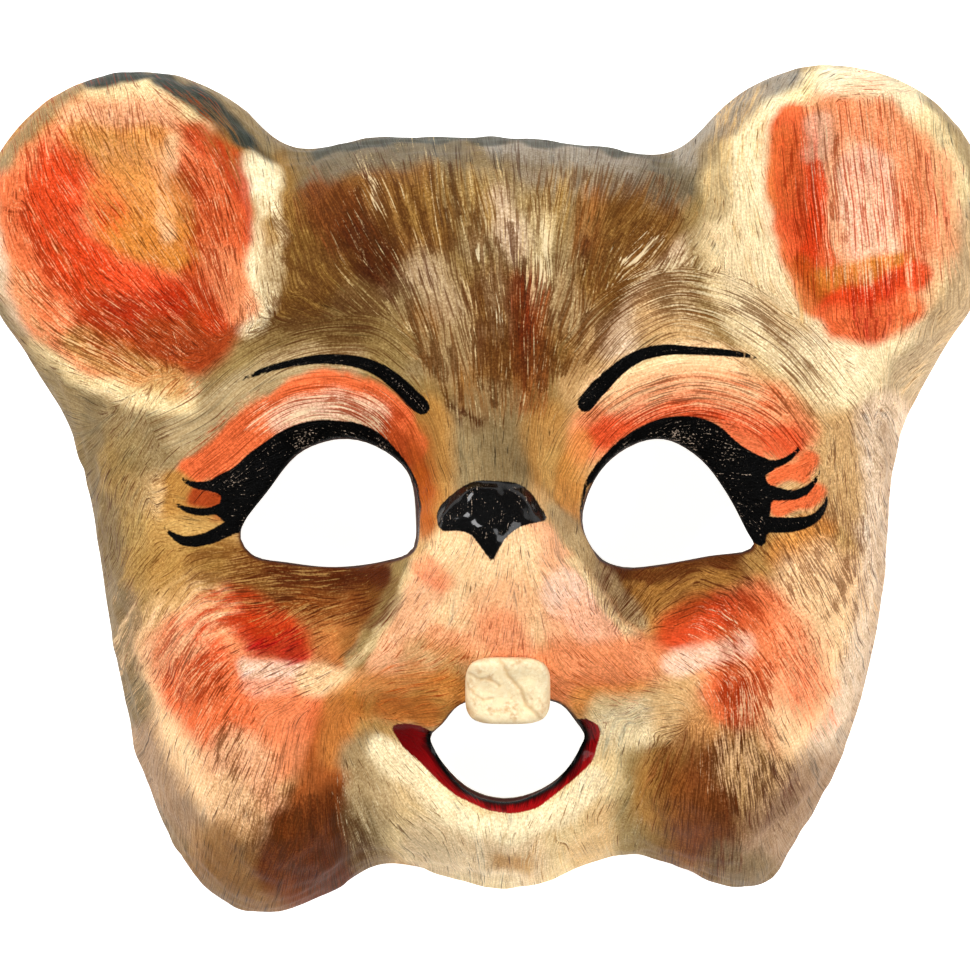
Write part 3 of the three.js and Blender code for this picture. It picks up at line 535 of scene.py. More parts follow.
# The paint, coat by coat. Each touch: pigment, strength, width, softness, and the points it passes through.
# "wash" covers, "body" is broken up by the brush, "hair" is dark strokes and "dry" is pale dry brush.
TOUCHES = {
    "wash": [
        ("sand", 1, 400, 1, [(0, 0)]),
        # forehead
        ("olive", 1, 56, 10, [(-30, 50), (30, 50)]),
        ("khaki", 0.8, 44, 12, [(-20, 38), (30, 48)]),
        ("olive", 1, 16, 6, [(-39, 58), (-37, 45)]),
        ("earth", 0.85, 16, 6, [(-20, 66), (-18, 56)]),
        ("chestnut", 0.8, 7, 5, [(-37, 65), (-32, 60)]),
        ("umber", 0.8, 6, 5, [(-28, 55), (-22, 47)]),
        ("stone", 0.9, 6, 4, [(-6, 72), (-5, 62), (-2, 55)]),
        ("taupe", 0.9, 6, 5, [(3, 69), (5, 60), (8, 51)]),
        ("shell", 0.7, 3, 4, [(3, 62), (6, 53)]),
        ("fawn", 0.85, 8, 4, [(-13, 46), (-9, 38), (-7, 28)]),
        ("shell", 0.25, 4, 4, [(-14, 46), (-9, 40)]),
        ("taupe", 0.9, 6, 4, [(-19, 40), (-15, 29)]),
        ("khaki", 0.9, 8, 4, [(-28, 40), (-21, 32)]),
        ("taupe", 0.9, 6, 4, [(16, 62), (17, 50)]),
        ("earth", 0.8, 8, 5, [(3, 42), (4, 28), (4, 20)]),
        ("chestnut", 0.8, 5, 3, [(9, 42), (10, 28)]),
        ("brick", 0.1, 3, 4, [(24, 66), (22, 53)]),
        ("earth", 0.6, 10, 6, [(30, 60), (38, 54)]),
        ("straw", 0.6, 4, 3, [(32, 50), (40, 52)]),
        ("fawn", 0.9, 6, 4, [(15, 43), (20, 37)]),
        ("olive", 0.7, 5, 4, [(25, 44), (32, 40)]),
        ("sand", 0.8, 8, 4, [(26, 30), (22, 22)]),
        ("shell", 0.8, 6, 3, [(28, 32), (36, 42), (46, 52)]),
        ("sand", 0.9, 12, 5, [(40, 38), (52, 44)]),
        ("fawn", 0.7, 8, 5, [(42, 44), (54, 42)]),
        ("khaki", 0.8, 6, 4, [(47, 60), (51, 38), (61, 37)]),
        ("ash", 0.7, 6, 5, [(12, 70), (28, 68), (38, 66)]),
        # Along the top edge: grey paint, darkened further as painted shade where the rim rolls back.
        ("stone", 1, 5, 4, [
            (-46, 69), (-38, 71.5), (-28, 74), (-14, 75.5), (0, 75), (14, 74), (28, 72), (40, 69),
        ]),
        ("slate", 0.9, 4, 4, [(-42, 69), (-32, 72), (-20, 73.6), (-8, 74.4)]),
        ("ash", 0.9, 4, 3, [(4, 74.6), (14, 73.8), (26, 72), (34, 70)]),
        # A thin dark line: painted shadow at the outline.
        ("painted_shadow", 0.8, 0.9, 0.9, [
            (-43, 70.6), (-35, 73.2), (-20, 75.2), (-5, 75.9), (12, 75.5), (25, 74.2), (41, 71),
        ]),
        ("slate", 0.9, 8, 5, [(40, 68), (46, 74), (50, 80)]),
        # bridge
        ("taupe", 1, 16, 4, [(0, 14), (1, 5)]),
        ("stone", 0.8, 7, 4, [(3, 13), (4, 5)]),
        ("ochre", 0.9, 5, 4, [(-12, 16), (-11.5, 6), (-12, -4)]),
        ("earth", 0.5, 3, 3, [(-12.8, 15), (-12.4, 5)]),
        ("ochre", 0.8, 6, 4, [(13, 14), (14, 5)]),
        ("straw", 0.7, 4, 3, [(15, 6), (18, -1)]),
        # brows and temples
        ("khaki", 1, 9, 4, [(-57, 24), (-46, 30), (-34, 32), (-24, 30)]),
        ("taupe", 1, 14, 6, [(-84, 12), (-70, 13), (-62, 14)]),
        ("fawn", 0.9, 5, 3, [(-66, 12), (-54, 20), (-47, 25), (-40, 27.4), (-30, 27)]),
        ("peach", 1, 6, 3, [(26, 21), (34, 25.6), (44, 27.4), (54, 26), (62, 23)]),
        ("cream", 0.8, 3, 3, [(28, 22.6), (34, 26), (42, 28)]),
        ("sand", 1, 14, 6, [(66, 24), (74, 14), (78, 2)]),
        ("cream", 0.9, 8, 5, [(68, 27), (79, 24)]),
        # left ear
        ("taupe", 1, 26, 4, [(-110, 60), (-104, 36), (-90, 20)]),
        ("shell", 1, 6, 3, [(-104, 52), (-99, 40), (-89, 30), (-79, 24)]),
        ("cream", 1, 4, 4, [(-94, 31), (-88, 27), (-78, 22.6), (-66, 20)]),
        ("stone", 0.9, 4, 4, [(-110, 40), (-104, 29), (-97, 20), (-92, 12)]),
        ("ochre", 0.9, 6, 3, [(-101, 74), (-94, 81), (-86, 85)]),
        ("cream", 0.9, 4, 2.5, [(-84, 86), (-76, 86.6), (-67, 84.4), (-61, 80)]),
        # Dark band on the ear's top: painted shadow of its shadowed top wall.
        ("painted_shadow", 1, 1.6, 1.4, [(-86, 87.4), (-79, 89.6), (-72, 89.8), (-68, 88.6)]),
        ("taupe", 0.9, 1.6, 1.6, [(-109, 56), (-105, 69), (-98, 79), (-89, 86)]),
        ("stone", 1, 5, 2.5, [(-60, 89), (-50, 82.6), (-45, 77), (-41, 71)]),
        ("olive", 0.9, 6, 4, [(-54, 76), (-48, 70), (-45, 62), (-43, 52), (-44, 42)]),
        ("taupe", 1, 3, 1.5, [(-71, 91.4), (-62, 88.8), (-56, 85), (-51, 80.6), (-46, 75.6)]),
        # Dark bands on the ear's top: painted shadow of its shadowed top wall.
        ("painted_shadow", 1, 2.8, 1.3, [(-70, 88.6), (-66, 87), (-62.3, 84.8), (-59, 81.8), (-55, 78.4), (-51, 75)]),
        ("painted_shadow", 0.6, 2, 1.6, [(-51, 75), (-47.6, 71.6)]),
        ("bone", 1, 6.5, 2.5, [(-50, 68), (-48.4, 62), (-48.2, 54), (-48.6, 46), (-51, 38)]),
        ("ochre", 0.6, 1.6, 1.6, [(-47.6, 57), (-46.6, 54)]),
        ("olive", 0.5, 1.4, 1.4, [(-50.6, 62), (-49.6, 59)]),
        ("olive", 0.5, 2, 2, [(-46.4, 58), (-46, 46)]),
        ("salmon", 1, 50, 2.5, [(-79, 58), (-77.6, 50)]),
        ("coral", 0.8, 8, 4, [(-101, 64), (-98, 54), (-92, 42), (-84, 34)]),
        ("blush", 0.8, 4, 4, [(-88, 80), (-70, 81)]),
        ("honey", 0.9, 5, 3, [(-88, 75.5), (-80, 74.5), (-72, 75)]),
        ("peach", 0.4, 6, 4, [(-80, 70), (-72, 69)]),
        ("honey", 0.9, 12, 5, [(-78, 63), (-72, 58), (-64, 55)]),
        ("amber", 0.9, 7, 4, [(-79, 56), (-70, 52), (-62, 52)]),
        ("scarlet", 0.95, 7, 4, [(-92, 68), (-95, 60), (-92, 53), (-86, 47)]),
        ("scarlet", 0.95, 9, 5, [(-88, 48), (-78, 42), (-72, 40)]),
        ("rust", 1, 9, 4, [(-82, 37), (-72, 35), (-66, 38)]),
        ("crimson", 0.3, 6, 5, [(-78, 38), (-69, 38)]),
        ("brick", 1, 9, 3.5, [(-70, 31), (-62, 31), (-59, 36)]),
        ("rust", 0.8, 5, 3, [(-62, 46), (-59, 38)]),
        ("rust", 0.9, 4, 2.5, [(-62, 77), (-56, 71.6), (-53.6, 64), (-53.6, 55)]),
        ("coral", 0.9, 6, 3, [(-63, 68), (-58, 60), (-56.6, 52)]),
        ("salmon", 0.9, 5, 3, [(-57, 49), (-54.6, 44), (-53, 40)]),
        ("straw", 0.8, 4, 3, [(-88, 32), (-78, 27), (-68, 23)]),
        ("peach", 0.8, 1.2, 2.2, [(-68, 75), (-68.6, 66), (-69.4, 58), (-69, 55)]),
        ("ochre", 0.6, 3, 2, [(-65.8, 67), (-65.4, 60)]),
        # right ear
        ("cream", 1, 66, 4, [(82, 62), (82, 54)]),
        ("bone", 0.7, 12, 6, [(56, 66), (62, 40), (76, 27), (92, 28)]),
        ("bone", 0.9, 6, 4, [(60, 84), (57, 66), (62, 50), (68, 36), (80, 29)]),
        ("pearl", 0.5, 4, 5, [(76, 88.6), (86, 88)]),
        ("mauve", 0.7, 7, 4, [(107, 58), (104, 42), (97, 30), (90, 20)]),
        ("ash", 1, 7, 3, [(45, 74), (50, 80), (56, 87), (64, 91)]),
        ("taupe", 0.8, 1.6, 1.6, [(64, 92), (74, 92.6), (84, 92), (94, 87), (101, 80), (106, 68)]),
        ("khaki", 0.6, 5, 3, [(50, 72), (49, 62)]),
        ("blush", 1, 25, 4, [(81, 72), (83, 46)]),
        ("coral", 1, 9, 2, [(67, 78), (65.6, 66), (68.6, 54), (73, 42)]),
        ("honey", 0.4, 5, 3, [(64, 74), (64, 64)]),
        ("scarlet", 0.45, 4, 3, [(65, 74), (66, 64), (69, 54)]),
        ("salmon", 0.8, 5, 4, [(74, 82), (84, 80), (92, 74)]),
        ("bone", 0.8, 3, 3, [(78, 88.6), (86, 87.6), (92, 85)]),
        ("rose", 0.7, 3, 2.5, [(72.6, 79), (72, 73)]),
        ("rose", 1, 10, 3, [(82, 68), (84.6, 54)]),
        ("scarlet", 1, 2.4, 1.2, [(71.6, 69.5), (71.8, 62), (70.6, 54), (69.2, 47)]),
        ("salmon", 0.8, 4, 2.5, [(91, 68), (93, 54)]),
        ("salmon", 0.6, 5, 4, [(97, 70), (98, 54)]),
        ("amber", 1, 5, 2, [(73, 44.6), (80, 46), (90, 48.4)]),
        ("sienna", 0.8, 3, 2, [(68.6, 48), (71.4, 42)]),
        ("scarlet", 1, 4.4, 2.2, [(76, 39.6), (84, 42), (93, 46.4)]),
        ("coral", 1, 5, 3, [(77, 36.4), (84, 35.6), (91, 39)]),
        # left eye
        ("coral", 1, 5.6, 1.4, [
            (-63, 4.2), (-56.6, 8.4), (-50, 14), (-44, 19), (-37, 22), (-30, 22.2), (-23.6, 19.2),
            (-19, 15), (-16, 9),
        ]),
        ("coral", 0.9, 5, 2, [(-58, 5), (-50, 11), (-45, 15)]),
        ("rose", 0.85, 3.6, 3, [(-43, 15), (-38, 17), (-31, 18), (-24, 15.6)]),
        ("brick", 0.9, 3, 2, [(-24, 14.6), (-19, 10.6), (-16, 6), (-14, 0)]),
        ("sienna", 0.5, 2.4, 2.5, [(-14.6, 12), (-12.8, 4), (-12.6, -6)]),
        ("sienna", 0.8, 2, 2, [(-13.8, 3), (-13.2, -9)]),
        ("ochre", 1, 6, 2, [(-66, 0), (-66, -7), (-59, -7.4)]),
        ("olive", 0.5, 3, 2, [(-64, -6), (-59, -7.4)]),
        ("brick", 1, 3, 1.4, [(-63, -1.6), (-57.4, -2.4)]),
        ("brick", 0.7, 1.4, 0.8, [(-58, -5.6), (-56.6, -5.8)]),
        # right eye
        ("salmon", 1, 7, 4, [(23, 11), (30, 17), (40, 21), (52, 20.6), (62, 17), (66, 13)]),
        ("scarlet", 0.85, 4, 2.5, [(25, 11.6), (33, 17), (42, 18.6), (50, 17.6)]),
        ("scarlet", 0.7, 5, 3, [(54, 14.6), (60, 10.6), (65, 10)]),
        ("coral", 0.8, 4, 3, [(38, 21), (50, 21), (60, 19)]),
        ("coral", 1, 3, 1.2, [(63, 2.6), (68, 3.8), (70, 6)]),
        ("coral", 1, 3, 1.2, [(63, -3.8), (69, -2.6), (71.4, 0)]),
        ("amber", 0.6, 3, 2.5, [(20, 10), (18.6, 2), (18.4, -6)]),
        # under the eyes
        ("straw", 1, 12, 5, [(-76, -14), (-66, -14), (-60, -15)]),
        ("ochre", 0.6, 8, 5, [(-72, -20), (-62, -18)]),
        ("olive", 0.7, 9, 5, [(-84, 4), (-82, -12), (-80, -26)]),
        ("khaki", 0.6, 9, 5, [(-80, 6), (-80, -12), (-79, -24)]),
        ("earth", 1, 10, 4, [(-58, -17), (-44, -20), (-28, -22)]),
        ("sienna", 0.8, 10, 5, [(-38, -30), (-30, -31), (-27, -36)]),
        ("honey", 0.3, 5, 5, [(-32, -28), (-28, -33)]),
        ("chestnut", 0.5, 7, 4, [(-40, -24), (-28, -24), (-20, -20)]),
        ("umber", 1, 3, 2.2, [(-46, -17.6), (-32, -18.8), (-22, -18.2)]),
        ("earth", 0.6, 4, 3, [(-22, -24), (-28, -33)]),
        ("earth", 1, 9, 4, [(28, -20), (44, -19.6), (58, -15)]),
        ("ochre", 0.9, 9, 5, [(33, -30), (36, -24), (48, -22)]),
        ("umber", 0.8, 1.6, 1.6, [(25, -18), (36, -18.6), (50, -15.6), (60, -13)]),
        ("straw", 0.9, 8, 4, [(62, -16), (70, -13), (77, -15)]),
        ("honey", 0.8, 5, 3, [(65, -14), (72, -9)]),
        # left cheek and jowl
        ("salmon", 1, 26, 5, [(-58, -40), (-48, -48)]),
        ("peach", 1, 11, 6, [(-70, -44), (-66, -56), (-60, -65)]),
        ("coral", 0.9, 12, 5, [(-54, -45), (-44, -47)]),
        ("salmon", 0.5, 7, 4, [(-43, -45), (-45, -55)]),
        ("coral", 1, 8, 5, [(-66, -35), (-64, -43), (-58, -50)]),
        ("scarlet", 0.7, 5, 4, [(-64, -31), (-60, -36)]),
        ("rust", 0.9, 6, 3, [(-60, -26), (-53, -25), (-47, -29)]),
        ("rust", 0.9, 4.5, 3.5, [(-52, -29), (-47, -32), (-42, -33.6)]),
        ("crimson", 0.35, 1.6, 2, [(-50, -35), (-44, -35.4), (-41, -34)]),
        ("blush", 1, 10, 5, [(-54, -60), (-50, -72)]),
        ("peach", 0.8, 6, 4, [(-56, -66), (-50, -75)]),
        # Thin rose strokes over the cheek's top: painted highlight where its bulge faces the light.
        ("rose", 1, 2, 1.8, [(-52, -38.8), (-47, -39.6), (-43, -38.6), (-38, -40)]),
        ("rose", 0.4, 2, 3, [(-50, -42), (-44, -42)]),
        ("peach", 1, 4, 2.5, [(-38, -41), (-32, -41.4), (-27, -43)]),
        ("sienna", 0.9, 8, 4, [(-31, -50), (-34, -60), (-37, -68)]),
        ("honey", 0.5, 4, 4, [(-31, -46), (-32, -56)]),
        # The left and lower side walls are painted darker: painted shade of the side away from the light.
        ("mauve", 1, 10, 5, [(-84, -24), (-82, -42), (-77, -58), (-69, -72), (-60, -81), (-50, -88)]),
        ("stone", 0.9, 7, 4, [(-84, -6), (-83, -20), (-81, -34), (-78, -46)]),
        ("stone", 0.6, 3, 3, [(-73, -70), (-64, -82), (-50, -91)]),
        ("ochre", 0.5, 8, 6, [(-58, -78), (-50, -84)]),
        ("earth", 0.7, 8, 6, [(-56, -80), (-46, -86)]),
        ("chestnut", 1, 8, 4, [(-42, -75), (-44, -81)]),
        ("chestnut", 1, 11, 6, [(-32, -72), (-33, -80), (-38, -84)]),
        ("umber", 0.6, 6, 6, [(-31, -74), (-34, -82)]),
        # muzzle
        ("peach", 1, 14, 2.5, [(-5, -16), (-13, -28), (-21, -38)]),
        ("blush", 1, 14, 2.5, [(9, -14), (18, -26), (26, -36)]),
        ("peach", 1, 16, 3, [(2, -14), (3, -34)]),
        ("blush", 0.9, 5, 3, [(-13, -22), (-18, -30), (-22, -38)]),
        ("rose", 0.8, 6, 3, [(17, -22), (24, -30)]),
        ("salmon", 0.4, 6, 4, [(20, -28), (26, -34)]),
        ("khaki", 1, 2.4, 1.8, [(-17.6, -16), (-22, -26), (-27.6, -37)]),
        # Pale lines on the snout's plane edges are painted highlights, the fawn line outside its right edge
        # painted shade.
        ("cream", 0.6, 0.8, 1.2, [(-14.6, -15), (-19, -24), (-24.4, -33), (-31, -41)]),
        ("fawn", 0.9, 1.6, 1.8, [(14.6, -4), (20.6, -12), (26.6, -20), (33.4, -29)]),
        ("cream", 0.8, 1.2, 1.4, [(19.2, -15.4), (25, -23.6), (30.4, -31), (35, -37)]),
        ("coral", 0.6, 3, 2.5, [(-13, -17), (-10, -20)]),
        ("coral", 0.6, 5, 5, [(3, -31), (6, -35)]),
        ("salmon", 0.4, 6, 5, [(1, -26), (6, -24)]),
        ("salmon", 0.7, 4, 3, [(-10, -32), (-5, -34)]),
        ("ochre", 0.5, 5, 4, [(-14, -36), (-7, -38)]),
        ("amber", 0.8, 7, 4, [(-25, -44), (-16, -45), (-8, -45)]),
        ("ochre", 0.7, 4, 3, [(-24, -46.6), (-16, -47.6), (-10, -48)]),
        ("sienna", 0.5, 3, 2, [(-22, -47.4), (-12, -48.6)]),
        ("salmon", 0.9, 10, 4, [(16, -40), (26, -40), (34, -38)]),
        ("sienna", 0.35, 5, 4, [(18, -45), (28, -43)]),
        ("honey", 0.8, 4, 3, [(22, -46.4), (34, -45)]),
        # chin
        ("cream", 1, 24, 4, [(-14, -66), (4, -76), (20, -70)]),
        ("cream", 1, 9, 3.5, [(28, -50), (36, -50)]),
        ("bone", 0.6, 5, 3, [(28, -52), (33, -49)]),
        ("cream", 1, 8, 3, [(28, -55), (26, -66), (23, -74)]),
        ("shell", 0.5, 8, 4, [(-12, -77), (8, -80)]),
        ("straw", 0.8, 4, 2, [(-26, -52.6), (-20, -54)]),
        ("fawn", 1, 6, 3.5, [(-26, -57), (-24, -68)]),
        ("stone", 0.8, 5, 4, [(-27, -70), (-25, -80)]),
        # A pale line along the lower lip: painted highlight on the lip's roll.
        ("bone", 1, 4, 2, [
            (-23, -56), (-16, -62), (-9, -69), (-2, -73), (8, -73.4), (17, -69.8), (24, -63),
        ]),
        ("ochre", 0.8, 1.6, 2.4, [(2, -80.6), (9, -81)]),
        ("sand", 0.6, 5, 4, [(27, -72), (22, -79)]),
        # right cheek and jowl
        ("salmon", 1, 20, 6, [(59, -33), (56, -46)]),
        ("peach", 1, 15, 6, [(73, -22), (76, -36), (72, -50)]),
        # A darker line down the left side: painted shade of the side away from the light.
        ("stone", 0.9, 2.4, 2, [(-85, 18), (-86, 0), (-85, -20), (-83, -36), (-80, -52)]),
        ("shell", 1, 7, 4, [(86, 16), (87, 0), (86, -18), (83, -38), (77, -55), (69, -68)]),
        ("mauve", 0.5, 2, 2, [(87, 12), (88, -6), (86, -26), (82, -44), (75, -60)]),
        ("rust", 0.9, 5, 4, [(41, -31), (46, -27.6), (54, -26)]),
        ("scarlet", 0.5, 3, 4, [(43, -33), (50, -29)]),
        ("coral", 0.7, 5, 6, [(60, -26), (65, -31), (68, -42)]),
        ("sand", 0.8, 10, 5, [(42, -46), (50, -52), (54, -58)]),
        ("amber", 0.4, 6, 5, [(48, -52), (52, -60)]),
        ("coral", 0.9, 7, 4, [(52, -45), (56, -40)]),
        ("rust", 0.8, 4, 3, [(54, -43), (55, -49)]),
        # Thin rose stroke over the cheek's top: painted highlight where its bulge faces the light.
        ("rose", 0.9, 2.4, 2.6, [(41, -37.6), (48, -36), (56, -33.6)]),
        ("khaki", 0.9, 10, 5, [(36, -62), (35, -70), (35, -78)]),
        ("ochre", 0.7, 6, 5, [(39, -60), (37, -68)]),
        ("earth", 0.7, 10, 6, [(45, -62), (46, -74), (44, -80)]),
        ("sienna", 0.4, 6, 5, [(45, -66), (46, -74)]),
        ("chestnut", 0.7, 6, 5, [(48, -62), (48, -74)]),
        ("sand", 0.9, 8, 4, [(56, -60), (61, -66)]),
        ("bone", 0.7, 5, 4, [(28, -52), (32, -51)]),
        ("mauve", 1, 8, 6, [(58, -81), (66, -73), (72, -63)]),
        ("stone", 0.7, 6, 4, [(52, -81), (60, -85)]),
    ],
    "body": [
        # forehead
        ("umber", 0.22, 13, 7, [(-24, 60), (-18, 52), (-14, 46)]),
        ("umber", 0.2, 9, 6, [(1, 50), (4, 36), (4, 24)]),
        ("brick", 0.35, 4, 4, [(9, 44), (10, 30), (10, 20)]),
        ("earth", 0.6, 10, 7, [(34, 57), (27, 48), (20, 34)]),
        ("bark", 0.25, 9, 6, [(-42, 42), (-32, 45), (-26, 38)]),
        ("chestnut", 0.4, 7, 5, [(-36, 62), (-30, 56)]),
        ("earth", 0.5, 6, 5, [(-12, 36), (-7, 24)]),
        ("olive", 0.5, 9, 6, [(-12, 61), (-4, 61)]),
        ("olive", 0.4, 8, 6, [(16, 61), (30, 59)]),
        ("brick", 0.2, 2, 3, [(23, 63), (22, 54)]),
        ("maroon", 0.4, 3, 3, [(-6, 18), (-2, 16.4)]),
        ("earth", 0.25, 8, 6, [(44, 42), (58, 36), (66, 28)]),
        ("bark", 0.35, 5, 4, [(-46, 34), (-34, 37), (-28, 37)]),
        ("earth", 0.4, 8, 6, [(0, 22), (14, 24)]),
        ("cream", 0.35, 2, 2.5, [(12, 58), (11, 48)]),
        ("fawn", 0.3, 3, 4, [(-2, 54), (2, 44), (3, 36)]),
        # left ear
        ("brick", 0.35, 10, 5, [(-98, 60), (-92, 46), (-80, 36)]),
        ("brick", 0.45, 8, 4, [(-64, 66), (-58, 58), (-58, 44)]),
        ("sienna", 0.4, 4, 3, [(-84, 32), (-76, 27), (-66, 24)]),
        ("ochre", 0.5, 6, 4, [(-86, 73), (-78, 72)]),
        ("scarlet", 0.5, 8, 5, [(-94, 70), (-84, 62)]),
        ("earth", 0.3, 4, 3, [(-101, 76), (-93, 84)]),
        ("olive", 0.3, 5, 3, [(-47, 60), (-46, 44)]),
        ("earth", 0.2, 6, 4, [(-102, 44), (-94, 32)]),
        ("earth", 0.3, 3, 3, [(-66, 83), (-58, 77), (-54, 70)]),
        ("honey", 0.4, 8, 4, [(-78, 70), (-71, 63)]),
        # right ear
        ("rust", 0.25, 8, 4, [(66, 76), (66, 60), (72, 44)]),
        ("coral", 0.25, 18, 6, [(82, 76), (86, 56)]),
        ("rust", 0.25, 6, 4, [(96, 68), (97, 50)]),
        ("crimson", 0.4, 5, 3, [(84, 44), (84, 35)]),
        ("straw", 0.25, 6, 4, [(56, 82), (53, 62), (66, 38)]),
        ("sand", 0.12, 8, 5, [(76, 24), (90, 26), (102, 50)]),
        # eyes
        ("brick", 0.3, 5, 3, [(-60, 6), (-48, 15), (-34, 20), (-22, 15)]),
        ("rust", 0.25, 7, 4, [(26, 13), (40, 19), (54, 17), (64, 11)]),
        ("peach", 0.5, 5, 3, [(28, 20), (40, 24), (56, 21)]),
        ("umber", 0.5, 8, 5, [(-50, -19), (-34, -22), (-24, -24)]),
        ("umber", 0.4, 8, 5, [(30, -22), (46, -20), (60, -16)]),
        ("olive", 0.5, 8, 4, [(-72, -18), (-62, -16)]),
        # cheeks and jowls
        ("brick", 0.5, 8, 5, [(-68, -34), (-62, -42)]),
        ("peach", 0.25, 8, 6, [(-70, -32), (-62, -26)]),
        ("chestnut", 0.3, 4, 4, [(-56, -54), (-54, -62)]),
        ("crimson", 0.5, 5, 3, [(-48, -33), (-42, -34)]),
        ("chestnut", 0.35, 6, 5, [(-40, -60), (-37, -70)]),
        ("brick", 0.3, 4, 3, [(58, -25), (52, -31)]),
        ("brick", 0.3, 5, 3, [(52, -38), (56, -50)]),
        ("brick", 0.4, 6, 4, [(56, -32), (57, -44)]),
        ("umber", 0.5, 8, 5, [(54, -58), (62, -64), (56, -68)]),
        ("chestnut", 0.4, 10, 6, [(42, -60), (48, -74)]),
        ("coral", 0.35, 5, 5, [(68, -34), (70, -48)]),
        # muzzle and chin
        ("sienna", 0.2, 6, 4, [(-14, -38), (-6, -38)]),
        ("sienna", 0.2, 7, 4, [(18, -36), (28, -40)]),
        ("sienna", 0.2, 8, 5, [(-14, -44), (-22, -42)]),
        ("ochre", 0.2, 8, 5, [(20, -76), (14, -79)]),
        ("fawn", 0.4, 8, 5, [(-22, -66), (-12, -76)]),
    ],
    "hair": [
        ("bark", 0.32, 36, 10, [(-22, 49), (22, 49)]),
        ("bark", 0.24, 13, 6, [(-38, 56), (-37, 44)]),
        ("bark", 0.32, 10, 6, [(34, 61), (30, 46)]),
        ("maroon", 0.5, 5, 4, [(-27, 54), (-21, 46)]),
        ("maroon", 0.35, 12, 5, [(4, 44), (7, 26)]),
        ("bark", 0.3, 12, 6, [(44, 42), (56, 36), (68, 26)]),
        ("bark", 0.38, 12, 5, [(-46, 36), (-30, 36)]),
        ("maroon", 0.2, 46, 5, [(-79, 57), (-77, 50)]),
        ("umber", 0.22, 8, 5, [(-88, 30), (-76, 26), (-62, 26)]),
        ("maroon", 0.25, 28, 5, [(81, 70), (84, 48)]),
        ("brick", 0.3, 7, 3, [(-60, 6), (-48, 15), (-34, 19), (-20, 14)]),
        ("maroon", 0.3, 9, 3, [(26, 14), (40, 20), (56, 18), (66, 14)]),
        ("umber", 0.18, 8, 5, [(-62, -18), (-50, -20), (-28, -22)]),
        ("umber", 0.3, 12, 6, [(30, -22), (58, -18), (74, -12)]),
        ("maroon", 0.22, 16, 6, [(-68, -34), (-54, -36), (-44, -34)]),
        ("bark", 0.25, 10, 6, [(-54, -58), (-50, -68)]),
        ("bark", 0.42, 14, 6, [(-44, -74), (-34, -78)]),
        ("maroon", 0.15, 8, 6, [(54, -38), (56, -50)]),
        ("bark", 0.3, 12, 6, [(56, -56), (58, -66)]),
        ("bark", 0.36, 12, 6, [(44, -58), (47, -76)]),
        ("umber", 0.22, 12, 8, [(72, -34), (77, -20), (78, 12)]),
        ("brick", 0.1, 12, 6, [(-14, -36), (18, -34), (30, -42)]),
        ("bark", 0.06, 10, 6, [(-24, -62), (-16, -76), (8, -80), (24, -70)]),
        ("umber", 0.2, 10, 6, [(-76, 12), (-76, -16)]),
        ("brick", 0.2, 8, 5, [(-100, 74), (-86, 84), (-66, 82)]),
    ],
    "dry": [
        ("cream", 0.22, 4, 4, [(12, 62), (11, 46)]),
        ("cream", 0.22, 2, 3, [(-26, 69), (-23, 60)]),
        ("cream", 0.05, 26, 10, [(-10, 54), (4, 36)]),
        ("bone", 0.22, 10, 6, [(36, 46), (54, 38)]),
        ("peach", 0.12, 44, 6, [(-79, 58), (-76, 52)]),
        ("bone", 0.2, 18, 6, [(82, 70), (84, 54)]),
        ("bone", 0.35, 5, 3, [(-46, 15), (-36, 18.4), (-24, 16.4)]),
        ("peach", 0.3, 8, 4, [(32, 20), (46, 23), (60, 19)]),
        ("peach", 0.2, 16, 8, [(-68, -32), (-60, -50)]),
        ("bone", 0.15, 8, 5, [(52, -32), (54, -42)]),
        ("peach", 0.3, 12, 6, [(58, -58), (66, -40), (76, -24)]),
        ("straw", 0.25, 10, 6, [(-70, -18), (-50, -20), (-36, -24)]),
        ("cream", 0.2, 5, 4, [(-100, 44), (-86, 28), (-72, 23)]),
        ("bone", 0.1, 16, 6, [(-20, -68), (0, -78), (22, -72)]),
    ],
}

